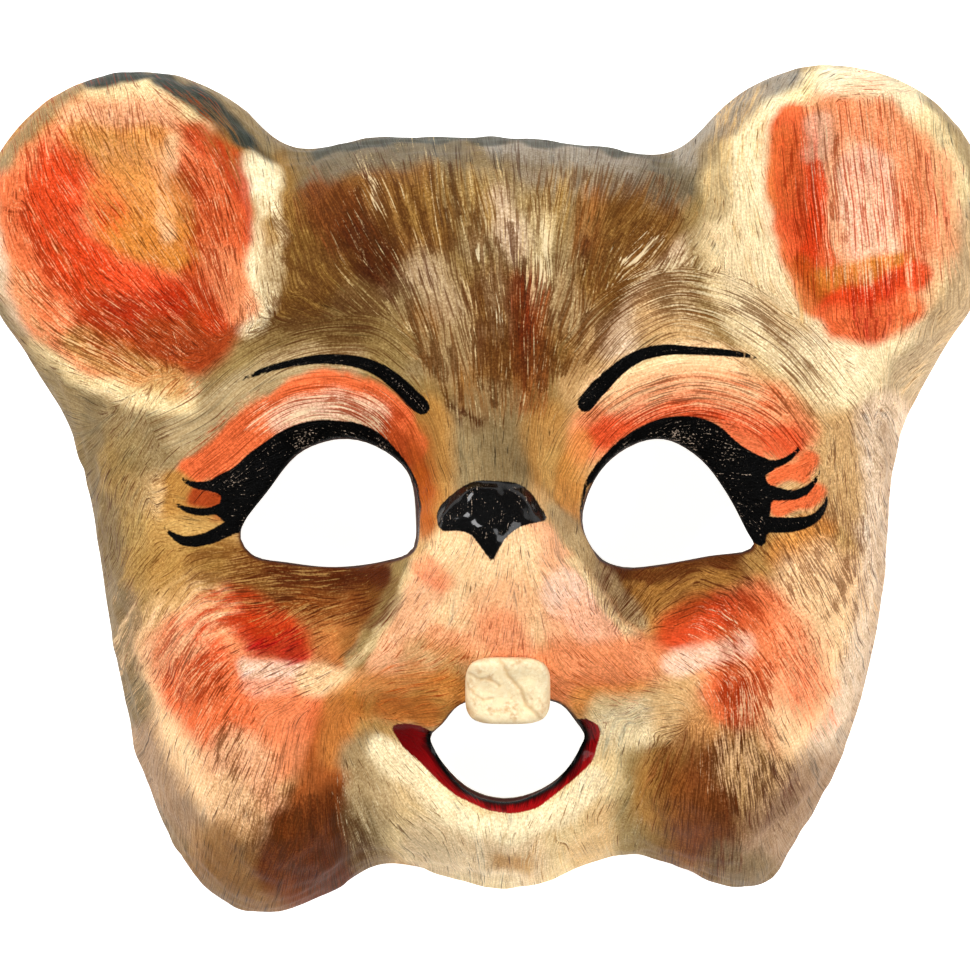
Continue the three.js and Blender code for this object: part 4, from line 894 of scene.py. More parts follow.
# Single strokes laid over the rest: coat, pigment, strength, and each stroke from end to end.
MARKS = [
    ("hair", "bark", 0.8, [
        (-30, 60, -24, 46), (-28, 64, -23, 52), (-26, 56, -20, 42), (-24, 66, -20, 54), (-22, 56, -18, 47),
        (-20, 66, -17, 56), (-18, 60, -14, 50), (-16, 66, -13, 56), (-14, 60, -11, 51), (-12, 68, -10, 58),
        (-9, 60, -7, 52), (-8, 70, -6, 60), (-4, 56, -1, 44), (-2, 60, 1, 48), (0, 50, 3, 38),
        (2, 54, 5, 42),
        (5, 58, 7, 50), (12, 44, 12, 34), (14, 46, 13, 36), (-17, 40, -13, 28), (-15, 34, -11, 24),
        (-12, 36, -9, 24), (-11, 28, -8, 19), (-7, 30, -5, 20), (-3, 34, -1, 22), (0, 36, 2, 24),
        (1, 28, 2, 18),
        (4, 34, 5, 22), (6, 40, 7, 28), (11, 34, 12, 22), (13, 32, 13, 22), (16, 38, 15, 26),
        (18, 34, 17, 25),
        (20, 62, 21, 50), (24, 58, 22, 46), (19, 46, 17, 38), (26, 54, 23, 44), (29, 58, 25, 47),
        (33, 58, 28, 49),
        (37, 60, 31, 50), (41, 60, 35, 52), (22, 38, 19, 28), (25, 36, 21, 27), (28, 38, 23, 30),
        (30, 44, 25, 36),
        (-40, 47, -30, 40), (-38, 43, -28, 36), (-40, 37, -27, 35), (-38, 34, -25, 32), (-36, 52, -29, 43),
        (-38, 58, -31, 48), (-46, 41, -36, 39), (-50, 34, -40, 36), (-44, 50, -37, 45), (-46, 58, -42, 52),
    ]),
    ("hair", "bark", 0.45, [
        (38, 46, 50, 46), (36, 42, 50, 43), (40, 38, 54, 39), (52, 43, 62, 38), (56, 39, 66, 32),
        (60, 36, 70, 26),
        (60, -58, 58, -65), (63, -58, 60, -66),
        (-56, -50, -58, -58), (-53, -54, -55, -62), (-46, -58, -47, -68), (-42, -62, -43, -72),
        (-38, -66, -37, -76),
        (-33, -70, -32, -80), (-28, -72, -27, -79), (76, -22, 79, -14), (74, -28, 78, -20),
        (78, -30, 81, -22),
    ]),
    ("hair", "maroon", 0.8, [
        (8, 50, 9, 40), (9, 42, 10, 30), (8, 34, 9, 22), (-27, 52, -22, 44), (-25, 48, -21, 42),
        (-7, 19, -1, 15),
        (22, 54, 21, 43),
    ]),
    ("hair", "rust", 0.5, [
        (-71, -36, -67, -30), (-69, -41, -64, -33), (-66, -43, -61, -36), (-62, -46, -59, -40),
        (56, -40, 54, -50), (59, -40, 58, -50), (61, -38, 61, -48), (53, -38, 52, -46), (50, -25, 55, -31),
        (55, -22, 60, -28), (60, -20, 64, -26), (47, -28, 51, -33),
    ]),
    ("hair", "rust", 0.5, [
        (76, 76, 75, 60), (79, 72, 78, 54), (82, 70, 82, 52), (85, 66, 86, 52), (88, 70, 89, 56),
        (91, 64, 92, 50),
        (94, 60, 95, 48), (80, 43, 80, 34), (84, 44, 84, 34), (88, 46, 88, 37), (67, 76, 65, 66),
        (68, 66, 68, 54),
        (-100, 60, -96, 50), (-98, 54, -93, 44), (-94, 50, -88, 40), (-90, 44, -84, 35), (-86, 40, -80, 33),
        (-66, 70, -58, 60), (-64, 66, -57, 54), (-64, 60, -58, 50), (-62, 54, -56, 44), (-66, 48, -58, 38),
        (-30, 20, -21, 14), (-34, 19, -26, 17), (-26, 22, -18, 15),
    ]),
    ("dry", "bone", 0.6, [
        (-25, 67, -23, 61), (-3, 55, -2, 50), (12, 58, 13, 52), (13, 54, 13, 47),
        (11, 50, 12, 44), (2, 42, 4, 33), (34, 52, 39, 55), (30, 49, 35, 51),
    ]),
]
MARK_EDGE = 1.3

# How the brush went: x, y and the direction of the strokes there in degrees.
BRUSHING = [
    (-35, 66, 122), (-26, 56, 117), (-30, 44, 140), (-40, 36, 165), (-34, 32, 178), (-48, 28, 30),
    (-58, 20, 48),
    (-12, 60, 104), (-10, 44, 102), (-6, 28, 98), (-4, 14, 92), (4, 62, 96), (8, 48, 92), (8, 30, 90),
    (18, 60, 82),
    (20, 44, 78), (22, 30, 70), (34, 56, 52), (34, 40, 30), (44, 36, 8), (54, 34, -16), (64, 26, -36),
    (72, 20, -52),
    (44, 52, 60), (42, 66, 70), (0, 72, 95),
    (-98, 60, 118), (-90, 50, 124), (-84, 64, 130), (-78, 46, 128), (-72, 58, 126), (-76, 80, 96),
    (-90, 78, 110),
    (-64, 70, 120), (-58, 60, 112), (-56, 44, 100), (-66, 34, 140), (-80, 34, 145), (-104, 64, 80),
    (-100, 40, 130),
    (-86, 26, 155), (-66, 86, 150), (-48, 64, 95), (-46, 44, 100), (-40, 56, 110),
    (68, 70, 106), (72, 52, 104), (82, 72, 97), (84, 54, 95), (92, 60, 98), (98, 52, 100),
    (84, 36, 88), (76, 28, 160),
    (60, 50, 105), (54, 66, 98), (62, 86, 60), (84, 90, 5), (104, 62, 95), (98, 30, 40), (66, 36, 130),
    (-62, 10, 46), (-54, 14, 42), (-46, 19, 30), (-36, 22, 8), (-26, 20, -20), (-18, 14, -48),
    (-13, 4, -80),
    (-13, -8, -86), (-72, 12, 60), (-64, -3, -14), (-64, -8, -12),
    (24, 13, 52), (30, 18, 36), (38, 22, 14), (48, 23, -4), (58, 20, -20), (66, 15, -36), (18, 2, 86),
    (68, 4, 24),
    (76, 8, 100), (80, -10, 95), (72, -14, 120),
    (-56, -16, 10), (-40, -20, -2), (-26, -22, 8), (-70, -18, 52), (-78, -8, 76), (-76, -30, 70),
    (-66, -26, 48),
    (-52, -24, 12), (-40, -30, 30), (-66, -40, 58), (-56, -48, 62), (-44, -42, 20), (-44, -54, 76),
    (-54, -64, 70),
    (-66, -62, 72), (-36, -60, 86), (-34, -76, 96), (-46, -82, 70), (-72, -70, 108),
    (30, -24, 60), (42, -24, 30), (52, -24, 140), (58, -30, 125), (50, -36, 150), (54, -46, 100),
    (66, -36, 118),
    (74, -30, 115), (80, -34, 100), (64, -54, 110), (54, -66, 95), (46, -72, 84), (38, -66, 72),
    (66, -70, 110),
    (-10, -16, 62), (-18, -28, 60), (-28, -40, 40), (0, -24, 70), (6, -32, 80), (12, -20, 112),
    (20, -28, 126),
    (28, -38, 132), (-16, -44, 12), (24, -44, -20),
    (-24, -56, 120), (-26, -70, 115), (-12, -70, 140), (0, -76, 100), (12, -74, 70), (24, -66, 62),
    (30, -54, 80),
    (20, -80, 120), (34, -48, 10),
]

# Where long strokes run side by side: half the width of the band that they fill, and the path they follow.
SWEEPS = [
    (8.5, [
        (-68, 0), (-64, 4.5), (-57, 10), (-50, 16), (-43, 20), (-36, 21.5), (-29, 21), (-22, 17),
        (-17, 10), (-14, 0),
    ]),
    (6, [(-72, 12), (-62, 17), (-54, 24), (-44, 30), (-34, 32.6), (-24, 32), (-16, 26)]),
    (8, [(18, 2), (22, 10), (29, 17), (37, 21), (46, 22.6), (56, 20.4), (64, 16), (70, 9)]),
    (9, [(22, 26), (30, 35), (40, 40), (50, 38.6), (60, 33), (68, 26), (74, 18)]),
    (18, [(80, 85), (83, 60), (85, 37)]),
]

# Brush dabs: patches within which the strokes run on unbroken.
DAB_PITCH = 10.0
DAB_LENGTH = 24.0
DAB_WIDTH = 8.0
DAB_EDGE = 0.5
DAB_LAYERS = 3
DAB_TILT = 5.0
DAB_SCATTER = 400.0
LONG_STROKES = (0.0, 50.0, 42.0, 30.0)  # middle and half sizes of the forehead, where the hairs run longest
LONG_SHARE = 0.45
BROAD_SHARE = 0.62
DAB_REACH = 1.6  # how far from its centre a dab is looked for, in dab lengths
FAINTEST = 0.02  # the least that a dab shows
BRUSH_BLEND = 6.0  # the larger, the softer the brush turns from one row's direction to the next's
SWEEP_FADE = 2.0
SWEEP_SEEDS = 7  # keeps the seeds of the sweeps apart


class Surface:
    """Points of the mask and the triangles between them, while they are worked out. Millimetres."""

    def __init__(self, points, faces):
        self.points = points
        self.faces = faces

    def trimmed(self):
        """Without what lies in the openings, cut exactly along their outlines."""
        points = self.points.copy()
        gap = inside_openings(points[:, 0], points[:, 1])
        close = np.abs(gap) < SNAP_SHARE * FRONT_STEP
        x, y = points[close, 0], points[close, 1]
        step = SLOPE_STEP
        slope_x = (inside_openings(x + step, y) - inside_openings(x - step, y)) / (2 * step)
        slope_y = (inside_openings(x, y + step) - inside_openings(x, y - step)) / (2 * step)
        points[close, 0] -= gap[close] * slope_x
        points[close, 1] -= gap[close] * slope_y
        gap[close] = 0
        kept = gap <= 0
        whole = self.faces[kept[self.faces].all(axis=1)]
        mixed = self.faces[kept[self.faces].any(axis=1) & ~kept[self.faces].all(axis=1)]
        cuts, added, extra = {}, [], []

        def cut(a, b):
            key = (min(a, b), max(a, b))
            if key not in cuts:
                if gap[a] == 0:
                    cuts[key] = a
                else:
                    share = gap[a] / (gap[a] - gap[b])
                    cuts[key] = len(points) + len(added)
                    added.append(points[a] + share * (points[b] - points[a]))
            return cuts[key]

        for face in mixed.tolist():
            while not (kept[face[0]] and not kept[face[2]]):
                face = face[1:] + face[:1]
            a, b, c = face
            if kept[b]:
                first, second = cut(b, c), cut(a, c)
                extra += [(a, b, first), (a, first, second)]
            else:
                extra.append((a, cut(a, b), cut(a, c)))
        faces = np.array([f for f in extra if len(set(f)) == 3])
        return Surface(np.vstack([points, np.array(added)]), np.vstack([whole, faces]))

    def packed(self):
        used, renamed = np.unique(self.faces, return_inverse=True)
        return Surface(self.points[used], renamed.reshape(-1, 3))

    def loops(self):
        """Its borders, each as the points along it in turn."""
        edges = np.vstack([self.faces[:, [0, 1]], self.faces[:, [1, 2]], self.faces[:, [2, 0]]])
        there = set(map(tuple, edges.tolist()))
        following = {a: b for a, b in there if (b, a) not in there}
        loops = []
        while following:
            start, at = next(iter(following.items()))
            loop = [start]
            del following[start]
            while at != start:
                loop.append(at)
                at = following.pop(at)
            loops.append(np.array(loop))
        return loops


def reach_of_rays(turns):
    near, far = np.zeros(len(turns)), np.full(len(turns), FACE_WIDTH)
    for _ in range(RAY_HALVINGS):
        middle = (near + far) / 2
        within = outline(middle * np.cos(turns), middle * np.sin(turns))[0] > 0
        near, far = np.where(within, middle, near), np.where(within, far, middle)
    return near


def polar_surface(ray_count, step):
    """The front as rings round the origin, evenly spaced along the surface, with fewer rays near it."""
    turns = 2 * math.pi * np.arange(ray_count) / ray_count
    reach = reach_of_rays(turns)
    even = np.linspace(0, 1, RAY_SAMPLES)
    shares = (1 - RAY_CROWDING) * even + RAY_CROWDING * np.sin(even * math.pi / 2)
    radius = reach[:, None] * shares[None, :]
    rise = height(radius * np.cos(turns)[:, None], radius * np.sin(turns)[:, None])
    rise[:, -1] = 0
    run = np.hypot(np.diff(radius, axis=1), np.diff(rise, axis=1))
    length = np.hstack([np.zeros((ray_count, 1)), np.cumsum(run, axis=1)])
    rings = int(round(length[:, -1].mean() / step))

    def ring_radii(ring, rays):
        return [np.interp(ring / rings * length[i, -1], length[i], radius[i]) for i in rays]

    points, rows = [], []
    for ring in range(1, rings + 1):
        stride = 1
        round_it = 2 * math.pi * np.mean(ring_radii(ring, range(0, ray_count, MEASURED_RAYS)))
        while ray_count // stride > CENTRE_RAYS and round_it * stride / ray_count < HALVE_BELOW * step:
            stride *= 2
        rays = np.arange(0, ray_count, stride)
        at = ring_radii(ring, rays)
        rows.append(np.arange(len(rays)) + 1 + sum(len(p) for p in points))
        points.append(np.column_stack([at * np.cos(turns[rays]), at * np.sin(turns[rays])]))
    flat = np.vstack([[[0.0, 0.0]], *points])
    z = height(flat[:, 0], flat[:, 1])
    z[rows[-1]] = 0
    faces = [(0, rows[0][i], rows[0][(i + 1) % len(rows[0])]) for i in range(len(rows[0]))]
    for inner, outer in zip(rows, rows[1:]):
        if len(inner) == len(outer):
            a, b = inner, outer
            c, d = np.roll(outer, -1), np.roll(inner, -1)
            across = np.hypot(*(flat[a] - flat[c]).T) ** 2 + (z[a] - z[c]) ** 2
            other = np.hypot(*(flat[b] - flat[d]).T) ** 2 + (z[b] - z[d]) ** 2
            short = (across < other)[:, None]
            faces += np.where(short, np.column_stack([a, b, c]), np.column_stack([a, b, d])).tolist()
            faces += np.where(short, np.column_stack([a, c, d]), np.column_stack([b, c, d])).tolist()
        else:
            a, d = inner, np.roll(inner, -1)
            b, middle, c = outer[::2], outer[1::2], np.roll(outer, -2)[::2]
            faces += np.column_stack([a, b, middle]).tolist()
            faces += np.column_stack([a, middle, d]).tolist()
            faces += np.column_stack([d, middle, c]).tolist()
    return Surface(np.column_stack([flat, z]), np.array(faces)), rows[-1]


def normals_of(points, faces):
    corners = points[faces]
    crossed = np.cross(corners[:, 1] - corners[:, 0], corners[:, 2] - corners[:, 0])
    total = np.zeros_like(points)
    for k in range(3):
        np.add.at(total, faces[:, k], crossed)
    return total / np.maximum(np.linalg.norm(total, axis=1, keepdims=True), 1e-12)


def ripple(x, y, z, form, seed):
    """Soft unevenness of the given form, from waves in all directions."""
    depth, shortest, longest = form
    rng = np.random.default_rng(seed)
    total = np.zeros_like(x)
    for _ in range(WAVES):
        way = rng.normal(size=3)
        way *= 2 * math.pi / rng.uniform(shortest, longest) / np.linalg.norm(way)
        total += np.cos(way[0] * x + way[1] * y + way[2] * z + rng.uniform(0, 2 * math.pi))
    return depth * (total / math.sqrt(WAVES / 2))


def path_gap(path, x, y, reach):
    """How far each place lies from a path of straight runs, or FAR where that is past the reach."""
    path = np.asarray(path, float)
    gap = np.full(x.shape, FAR)
    low, high = path.min(axis=0) - reach, path.max(axis=0) + reach
    near = (x > low[0]) & (x < high[0]) & (y > low[1]) & (y < high[1])
    px, py = x[near], y[near]
    best = np.hypot(px - path[0, 0], py - path[0, 1])
    for start, end in zip(path, path[1:]):
        _, gap_x, gap_y = beside_run(start, end, px, py)
        best = np.minimum(best, np.hypot(gap_x, gap_y))
    gap[near] = best
    return gap


def stroke_gap(rows, x, y):
    """How far each place lies from a tapering stroke's edge, negative inside it."""
    drawn = open_curve(rows)
    best = np.full(x.shape, FAR)
    for start, end in zip(drawn, drawn[1:]):
        share, gap_x, gap_y = beside_run(start, end, x, y)
        width = start[2] + share * (end[2] - start[2])
        best = np.minimum(best, np.hypot(gap_x, gap_y) - width / 2)
    return best


def black_gap(x, y):
    gaps = [stroke_gap(rows, x, y) for rows in STROKES.values()]
    gaps += [-inside(closed_curve(rows), x, y) for rows in FILLS.values()]
    return np.min(gaps, axis=0)


def lip_gap(x, y):
    return -inside(closed_curve(LIP), x, y)


def linear(pigment):
    """A pigment as the shader takes it, out of the screen's encoding."""
    share = np.array(PIGMENTS[pigment]) / 255
    return np.where(share <= 0.04045, share / 12.92, ((share + 0.055) / 1.055) ** 2.4)


def solid(pigment):
    return (*linear(pigment), 1.0)


class Coat:
    """One coat of paint: its colour and how thickly it lies at each place."""

    def __init__(self, touches, x, y):
        self.colour = np.zeros((len(x), 3))
        self.cover = np.zeros(len(x))
        for pigment, strength, width, softness, path in touches:
            gap = path_gap(path, x, y, width / 2 + softness) - width / 2
            laid = strength * smooth(1 - np.clip(gap / softness, 0, 1))
            cover = laid + self.cover * (1 - laid)
            share = laid / np.maximum(cover, 1e-9)
            self.colour += (linear(pigment) - self.colour) * share[:, None]
            self.cover = cover


def brush_direction(x, y):
    """The direction of the strokes at each place, in radians, from the table's nearest rows."""
    rows = np.array(BRUSHING, float)
    doubled = 2 * np.radians(rows[:, 2])
    total = np.zeros((2, len(x)))
    for (row_x, row_y, _), turn in zip(rows, doubled):
        weight = 1 / ((x - row_x) ** 2 + (y - row_y) ** 2 + BRUSH_BLEND) ** 2
        total += weight * np.array([[math.cos(turn)], [math.sin(turn)]])
    return np.arctan2(total[1], total[0]) / 2


def dabs(x, y, faces, direction, seed):
    """For each corner of each face: its place along and across a brush dab, and how strongly that shows."""
    rng = np.random.default_rng(seed)
    reach = DAB_LENGTH * DAB_REACH
    across = np.arange(x.min() - DAB_PITCH, x.max() + DAB_PITCH, DAB_PITCH)
    up = np.arange(y.min() - DAB_PITCH, y.max() + DAB_PITCH, DAB_PITCH)
    centres = np.array([(a, b) for a in across for b in up])
    centres += rng.uniform(-0.5, 0.5, centres.shape) * DAB_PITCH
    turns = brush_direction(centres[:, 0], centres[:, 1])
    tilts = np.radians(rng.normal(0, DAB_TILT, len(centres)))
    offsets = rng.uniform(0, DAB_SCATTER, (len(centres), 2))
    middle_x, middle_y, half_x, half_y = LONG_STROKES
    from_brow = np.hypot((centres[:, 0] - middle_x) / half_x, (centres[:, 1] - middle_y) / half_y)
    shrink, broaden = (np.where(from_brow < 1, share, 1.0) for share in (LONG_SHARE, BROAD_SHARE))

    def nearest(px, py):
        best, second = np.full(len(px), FAR), np.full(len(px), FAR)
        owner = np.zeros(len(px), int)
        order = np.argsort(px)
        ordered = px[order]
        for i, (centre_x, centre_y) in enumerate(centres):
            low, high = np.searchsorted(ordered, (centre_x - reach, centre_x + reach))
            there = order[low:high]
            there = there[np.abs(py[there] - centre_y) < reach]
            dx, dy = px[there] - centre_x, py[there] - centre_y
            c, s = math.cos(turns[i]), math.sin(turns[i])
            gap = np.hypot((dx * c + dy * s) / DAB_LENGTH, (dy * c - dx * s) / DAB_WIDTH)
            wins = gap < best[there]
            second[there] = np.where(wins, best[there], np.minimum(second[there], gap))
            owner[there[wins]] = i
            best[there[wins]] = gap[wins]
        return owner, second - best

    owner, lead = nearest(x, y)
    face_owner, _ = nearest(x[faces].mean(axis=1), y[faces].mean(axis=1))
    corner = faces.ravel()
    dab = np.repeat(face_owner, 3)
    dx, dy = x[corner] - centres[dab, 0], y[corner] - centres[dab, 1]
    swing = (direction[corner] - turns[dab] + math.pi / 2) % math.pi - math.pi / 2
    turn = turns[dab] + swing / 2 + tilts[dab]
    along = (dx * np.cos(turn) + dy * np.sin(turn)) * shrink[dab] + offsets[dab, 0]
    across = (dy * np.cos(turn) - dx * np.sin(turn)) * broaden[dab] + offsets[dab, 1]
    shows = np.where(owner[corner] == dab, smooth(lead[corner] / DAB_EDGE), 0) + FAINTEST
    for half_band, path in SWEEPS:
        run, aside = sweep_place(path, x, y)
        uneven = ripple(x, y, 0, SWEEP_WANDER, seed + int(half_band * SWEEP_SEEDS))
        swept = np.repeat((np.abs(aside + uneven)[faces] < half_band).all(axis=1), 3)
        start = rng.uniform(0, DAB_SCATTER, 2)
        along[swept] = run[corner][swept] * LONG_SHARE + start[0]
        across[swept] = aside[corner][swept] + start[1]
        shows[swept] = smooth((half_band - np.abs(aside))[corner][swept] / SWEEP_FADE) + FAINTEST
    return np.column_stack([along, across, shows])


def sweep_place(path, x, y):
    """The place along a path and beside it, left of it positive, and far to the side past its ends."""
    drawn = open_curve(path)
    sizes = np.hypot(*np.diff(drawn, axis=0).T)
    starts = np.concatenate([[0], np.cumsum(sizes)])
    best, along, aside = np.full(x.shape, FAR), np.zeros(x.shape), np.full(x.shape, FAR)
    for start, end, size, done in zip(drawn, drawn[1:], sizes, starts):
        share, gap_x, gap_y = beside_run(start, end, x, y)
        gap = np.hypot(gap_x, gap_y)
        nearer = gap < best
        side = np.sign((end[0] - start[0]) * gap_y - (end[1] - start[1]) * gap_x)
        best = np.where(nearer, gap, best)
        along = np.where(nearer, done + share * size, along)
        aside = np.where(nearer, gap * side, aside)
    beyond = (along <= 0) | (along >= starts[-1])
    return along, np.where(beyond, FAR, aside)


def zipper(outer, inner, points, centre):
    """Triangles between two loops that run round the same centre."""

    def ordered(loop):
        turns = np.arctan2(points[loop, 1] - centre[1], points[loop, 0] - centre[0])
        if np.sum(np.diff(np.unwrap(turns))) < 0:
            loop, turns = loop[::-1], turns[::-1]
        first = int(np.argmin(turns))
        loop, turns = np.roll(loop, -first), np.unwrap(np.roll(turns, -first))
        return np.append(loop, loop[0]), np.append(turns, turns[0] + 2 * math.pi)

    (a, a_turns), (b, b_turns) = ordered(outer), ordered(inner)
    i, j, faces = 0, 0, []
    while i < len(a) - 1 or j < len(b) - 1:
        if j == len(b) - 1 or (i < len(a) - 1 and a_turns[i + 1] < b_turns[j + 1]):
            faces.append((a[i], a[i + 1], b[j]))
            i += 1
        else:
            faces.append((a[i], b[j + 1], b[j]))
            j += 1
    return faces


def largest_first(loops, points):
    """Border loops with the rim first, then the openings from left to right."""
    spans = [np.ptp(points[loop, 0]) for loop in loops]
    rim = int(np.argmax(spans))
    openings = loops[:rim] + loops[rim + 1 :]
    return [loops[rim], *sorted(openings, key=lambda loop: points[loop, 0].mean())]


def shell_surface():
    """The closed shell: its points and faces, how many of each are the front's, and places for paint."""
    front, _ = polar_surface(FRONT_RAYS, FRONT_STEP)
    back, back_rim = polar_surface(BACK_RAYS, BACK_STEP)
    back_normals = normals_of(back.points, back.faces)
    back_normals[back_rim, 2] = 0
    back_normals /= np.linalg.norm(back_normals, axis=1, keepdims=True)
    back.points -= WALL * back_normals
    back.points[:, 2] = np.maximum(back.points[:, 2], 0)
    back.points[back_rim, 2] = 0
    front, back = front.trimmed().packed(), back.trimmed().packed()
    x, y, z = front.points.T
    normals = normals_of(front.points, front.faces)
    seen_x, seen_y = as_seen(x, y, z)
    black, lip = black_gap(seen_x, seen_y), lip_gap(seen_x, seen_y)
    edge = -inside_openings(x, y)
    lift = ripple(x, y, z, COARSE_LUMPS, seed=11) + ripple(x, y, z, FINE_LUMPS, seed=12)
    rise, reach = BLACK_RELIEF
    lift += rise * smooth(-black / reach)
    rise, reach = NOSE_RELIEF
    nose = inside(closed_curve(FILLS["nose"]), seen_x, seen_y)
    lift += smooth(nose / reach) * (rise + ripple(x, y, z, NOSE_LUMPS, seed=13))
    drop, reach = LIP_SINKS
    lift -= drop * smooth(-lip / reach)
    lift *= smooth(z / FLAT_BELOW)
    drop, reach = HOLE_ROUNDING
    lift -= drop * (1 - np.clip(edge / reach, 0, 1)) ** 2
    front.points = front.points + lift[:, None] * normals
    front.points[:, 2] = np.maximum(front.points[:, 2], 0)
    inner_lift = ripple(*back.points.T, INNER_LUMPS, seed=14) * smooth(back.points[:, 2] / FLAT_BELOW)
    back.points[:, 2] += inner_lift
    shift = len(front.points)
    points = np.vstack([front.points, back.points])
    front_loops = largest_first(front.loops(), points)
    back_loops = [loop + shift for loop in largest_first(back.loops(), back.points)]
    strips = []
    for i, (outer, inner) in enumerate(zip(front_loops, back_loops)):
        centre = (0.0, 0.0) if i == 0 else points[outer, :2].mean(axis=0)
        strips += zipper(outer, inner, points, centre)
    faces = np.vstack([front.faces, back.faces[:, ::-1] + shift, np.array(strips)])
    return points, faces, len(front.faces), shift, (seen_x, seen_y, black, lip, edge)


def in_scene(name, data):
    made = bpy.data.objects.new(name, data)
    bpy.context.scene.collection.objects.link(made)
    return made


def mesh_object(name, points, faces):
    mesh = bpy.data.meshes.new(name)
    mesh.from_pydata(points.tolist(), [], faces.tolist())
    mesh.validate()
    return in_scene(name, mesh)


def smooth_shaded(made, sharp_degrees):
    mesh = made.data
    mesh.polygons.foreach_set("use_smooth", np.ones(len(mesh.polygons), bool))
    mesh.set_sharp_from_angle(angle=math.radians(sharp_degrees))
    mesh.update()


def point_attribute(mesh, name, values):
    if values.ndim == 2:
        rgba = np.column_stack([values, np.ones(len(values))]).astype(np.float32)
        mesh.attributes.new(name, "FLOAT_COLOR", "POINT").data.foreach_set("color", rgba.ravel())
    else:
        mesh.attributes.new(name, "FLOAT", "POINT").data.foreach_set("value", values.astype(np.float32))


def painted(made, points, front_points, front_faces, faces, places):
    """Lays the paint on the shell's mesh: colours and coverages at points, brush dabs at corners."""
    seen_x, seen_y, black, lip, edge = places
    count = len(points)

    def whole(values, rest):
        filled = np.full((count, *values.shape[1:]), rest, float)
        filled[:front_points] = values
        return filled

    wander_x, wander_y = (ripple(seen_x, seen_y, 0, TOUCH_WANDER, seed) for seed in (21, 22))
    for layer, touches in TOUCHES.items():
        strokes = [
            (pigment, strength, 0, MARK_EDGE, [(x0, y0), (x1, y1)])
            for coat, pigment, strength, ends in MARKS if coat == layer for x0, y0, x1, y1 in ends
        ]
        coat = Coat(touches + strokes, seen_x + wander_x, seen_y + wander_y)
        point_attribute(made.data, layer, whole(coat.colour, linear("paper")))
        if layer != "wash":
            point_attribute(made.data, layer + "_cover", whole(coat.cover, 0))
    point_attribute(made.data, "black_gap", whole(black, OFF_PAINT))
    point_attribute(made.data, "lip_gap", whole(lip, OFF_PAINT))
    point_attribute(made.data, "hole_gap", whole(np.minimum(edge, OFF_PAINT), 0))
    point_attribute(made.data, "inner", whole(np.zeros(front_points), 1))
    direction = brush_direction(seen_x, seen_y)
    loops = 3 * len(faces)
    for layer in range(DAB_LAYERS):
        corners = np.zeros((loops, 3), np.float32)
        corners[: 3 * front_faces] = dabs(seen_x, seen_y, faces[:front_faces], direction, seed=31 + layer)
        stored = made.data.attributes.new(f"dab_{layer}", "FLOAT_VECTOR", "CORNER")
        stored.data.foreach_set("vector", corners.ravel())


class Socket:
    """One output of a node. Sums and products of it add Math nodes to its tree."""

    def __init__(self, tree, output):
        self.tree = tree
        self.output = output

    def math(self, operation, *values):
        return self.tree.node("ShaderNodeMath", {"operation": operation}, dict(enumerate(values)))

    def __add__(self, other):
        return self.math("ADD", self, other)

    def __radd__(self, other):
        return self.math("ADD", other, self)

    def __sub__(self, other):
        return self.math("SUBTRACT", self, other)

    def __rsub__(self, other):
        return self.math("SUBTRACT", other, self)

    def __mul__(self, other):
        return self.math("MULTIPLY", self, other)

    def __truediv__(self, other):
        return self.math("DIVIDE", self, other)

    def __pow__(self, other):
        return self.math("POWER", self, other)

    def __rpow__(self, other):
        return self.math("POWER", other, self)


class Tree:
    """A material's nodes."""

    def __init__(self, name):
        self.material = bpy.data.materials.new(name)
        self.material.use_nodes = True
        self.nodes = self.material.node_tree.nodes
        self.links = self.material.node_tree.links
        self.nodes.clear()

    def node(self, kind, settings=None, values=None, output=0):
        node = self.nodes.new(kind)
        for name, value in (settings or {}).items():
            setattr(node, name, value)
        for name, value in (values or {}).items():
            if isinstance(value, Socket):
                self.links.new(value.output, node.inputs[name])
            else:
                node.inputs[name].default_value = value
        return Socket(self, node.outputs[output])

    def attribute(self, name, output="Fac"):
        return self.node("ShaderNodeAttribute", {"attribute_name": name}, output=output)

    def step(self, value, ends, start=0.0, end=1.0):
        settings = {"interpolation_type": "SMOOTHSTEP"}
        values = {"Value": value, "From Min": ends[0], "From Max": ends[1], "To Min": start, "To Max": end}
        return self.node("ShaderNodeMapRange", settings, values)

    def fade(self, value, ends, least=0.0):
        return self.step(value, ends, 1.0, least)

    def mix(self, share, a, b):
        """Two colours mixed. A Mix node takes them at inputs 6 and 7 and gives one at output 2."""
        return self.node("ShaderNodeMix", {"data_type": "RGBA"}, {0: share, 6: a, 7: b}, output=2)

    def tinted(self, colour, factor):
        return self.node("ShaderNodeVectorMath", {"operation": "MULTIPLY"}, {0: colour, 1: factor})

    def shade(self, colour, amount, share):
        """A colour made lighter or darker, by the given share of the amount in red, green and blue."""
        powers = [(math.e**part) ** amount for part in share]
        return self.tinted(colour, self.node("ShaderNodeCombineXYZ", {}, dict(enumerate(powers))))

    def part(self, vector, index):
        return self.node("ShaderNodeSeparateXYZ", {}, {0: vector}, output=index)

    def place(self):
        """The place on the object, in millimetres."""
        at = self.node("ShaderNodeTexCoord", output="Object")
        return self.node("ShaderNodeVectorMath", {"operation": "SCALE"}, {0: at, "Scale": 1 / MM})

    def noise(self, at, size, detail, roughness):
        values = {"Vector": at, "Scale": 1 / size, "Detail": detail, "Roughness": roughness}
        return self.node("ShaderNodeTexNoise", {}, values)

    def finished(self, shader):
        end = self.nodes.new("ShaderNodeOutputMaterial")
        self.links.new(shader.output, end.inputs["Surface"])
        return self.material

    def shaded(self, values, height, bump):
        """Ends the material in a principled shader, with a height in millimetres as its bump."""
        normal = self.node("ShaderNodeBump", {}, {"Strength": bump, "Distance": MM, "Height": height})
        return self.finished(self.node("ShaderNodeBsdfPrincipled", {}, {**values, "Normal": normal}))


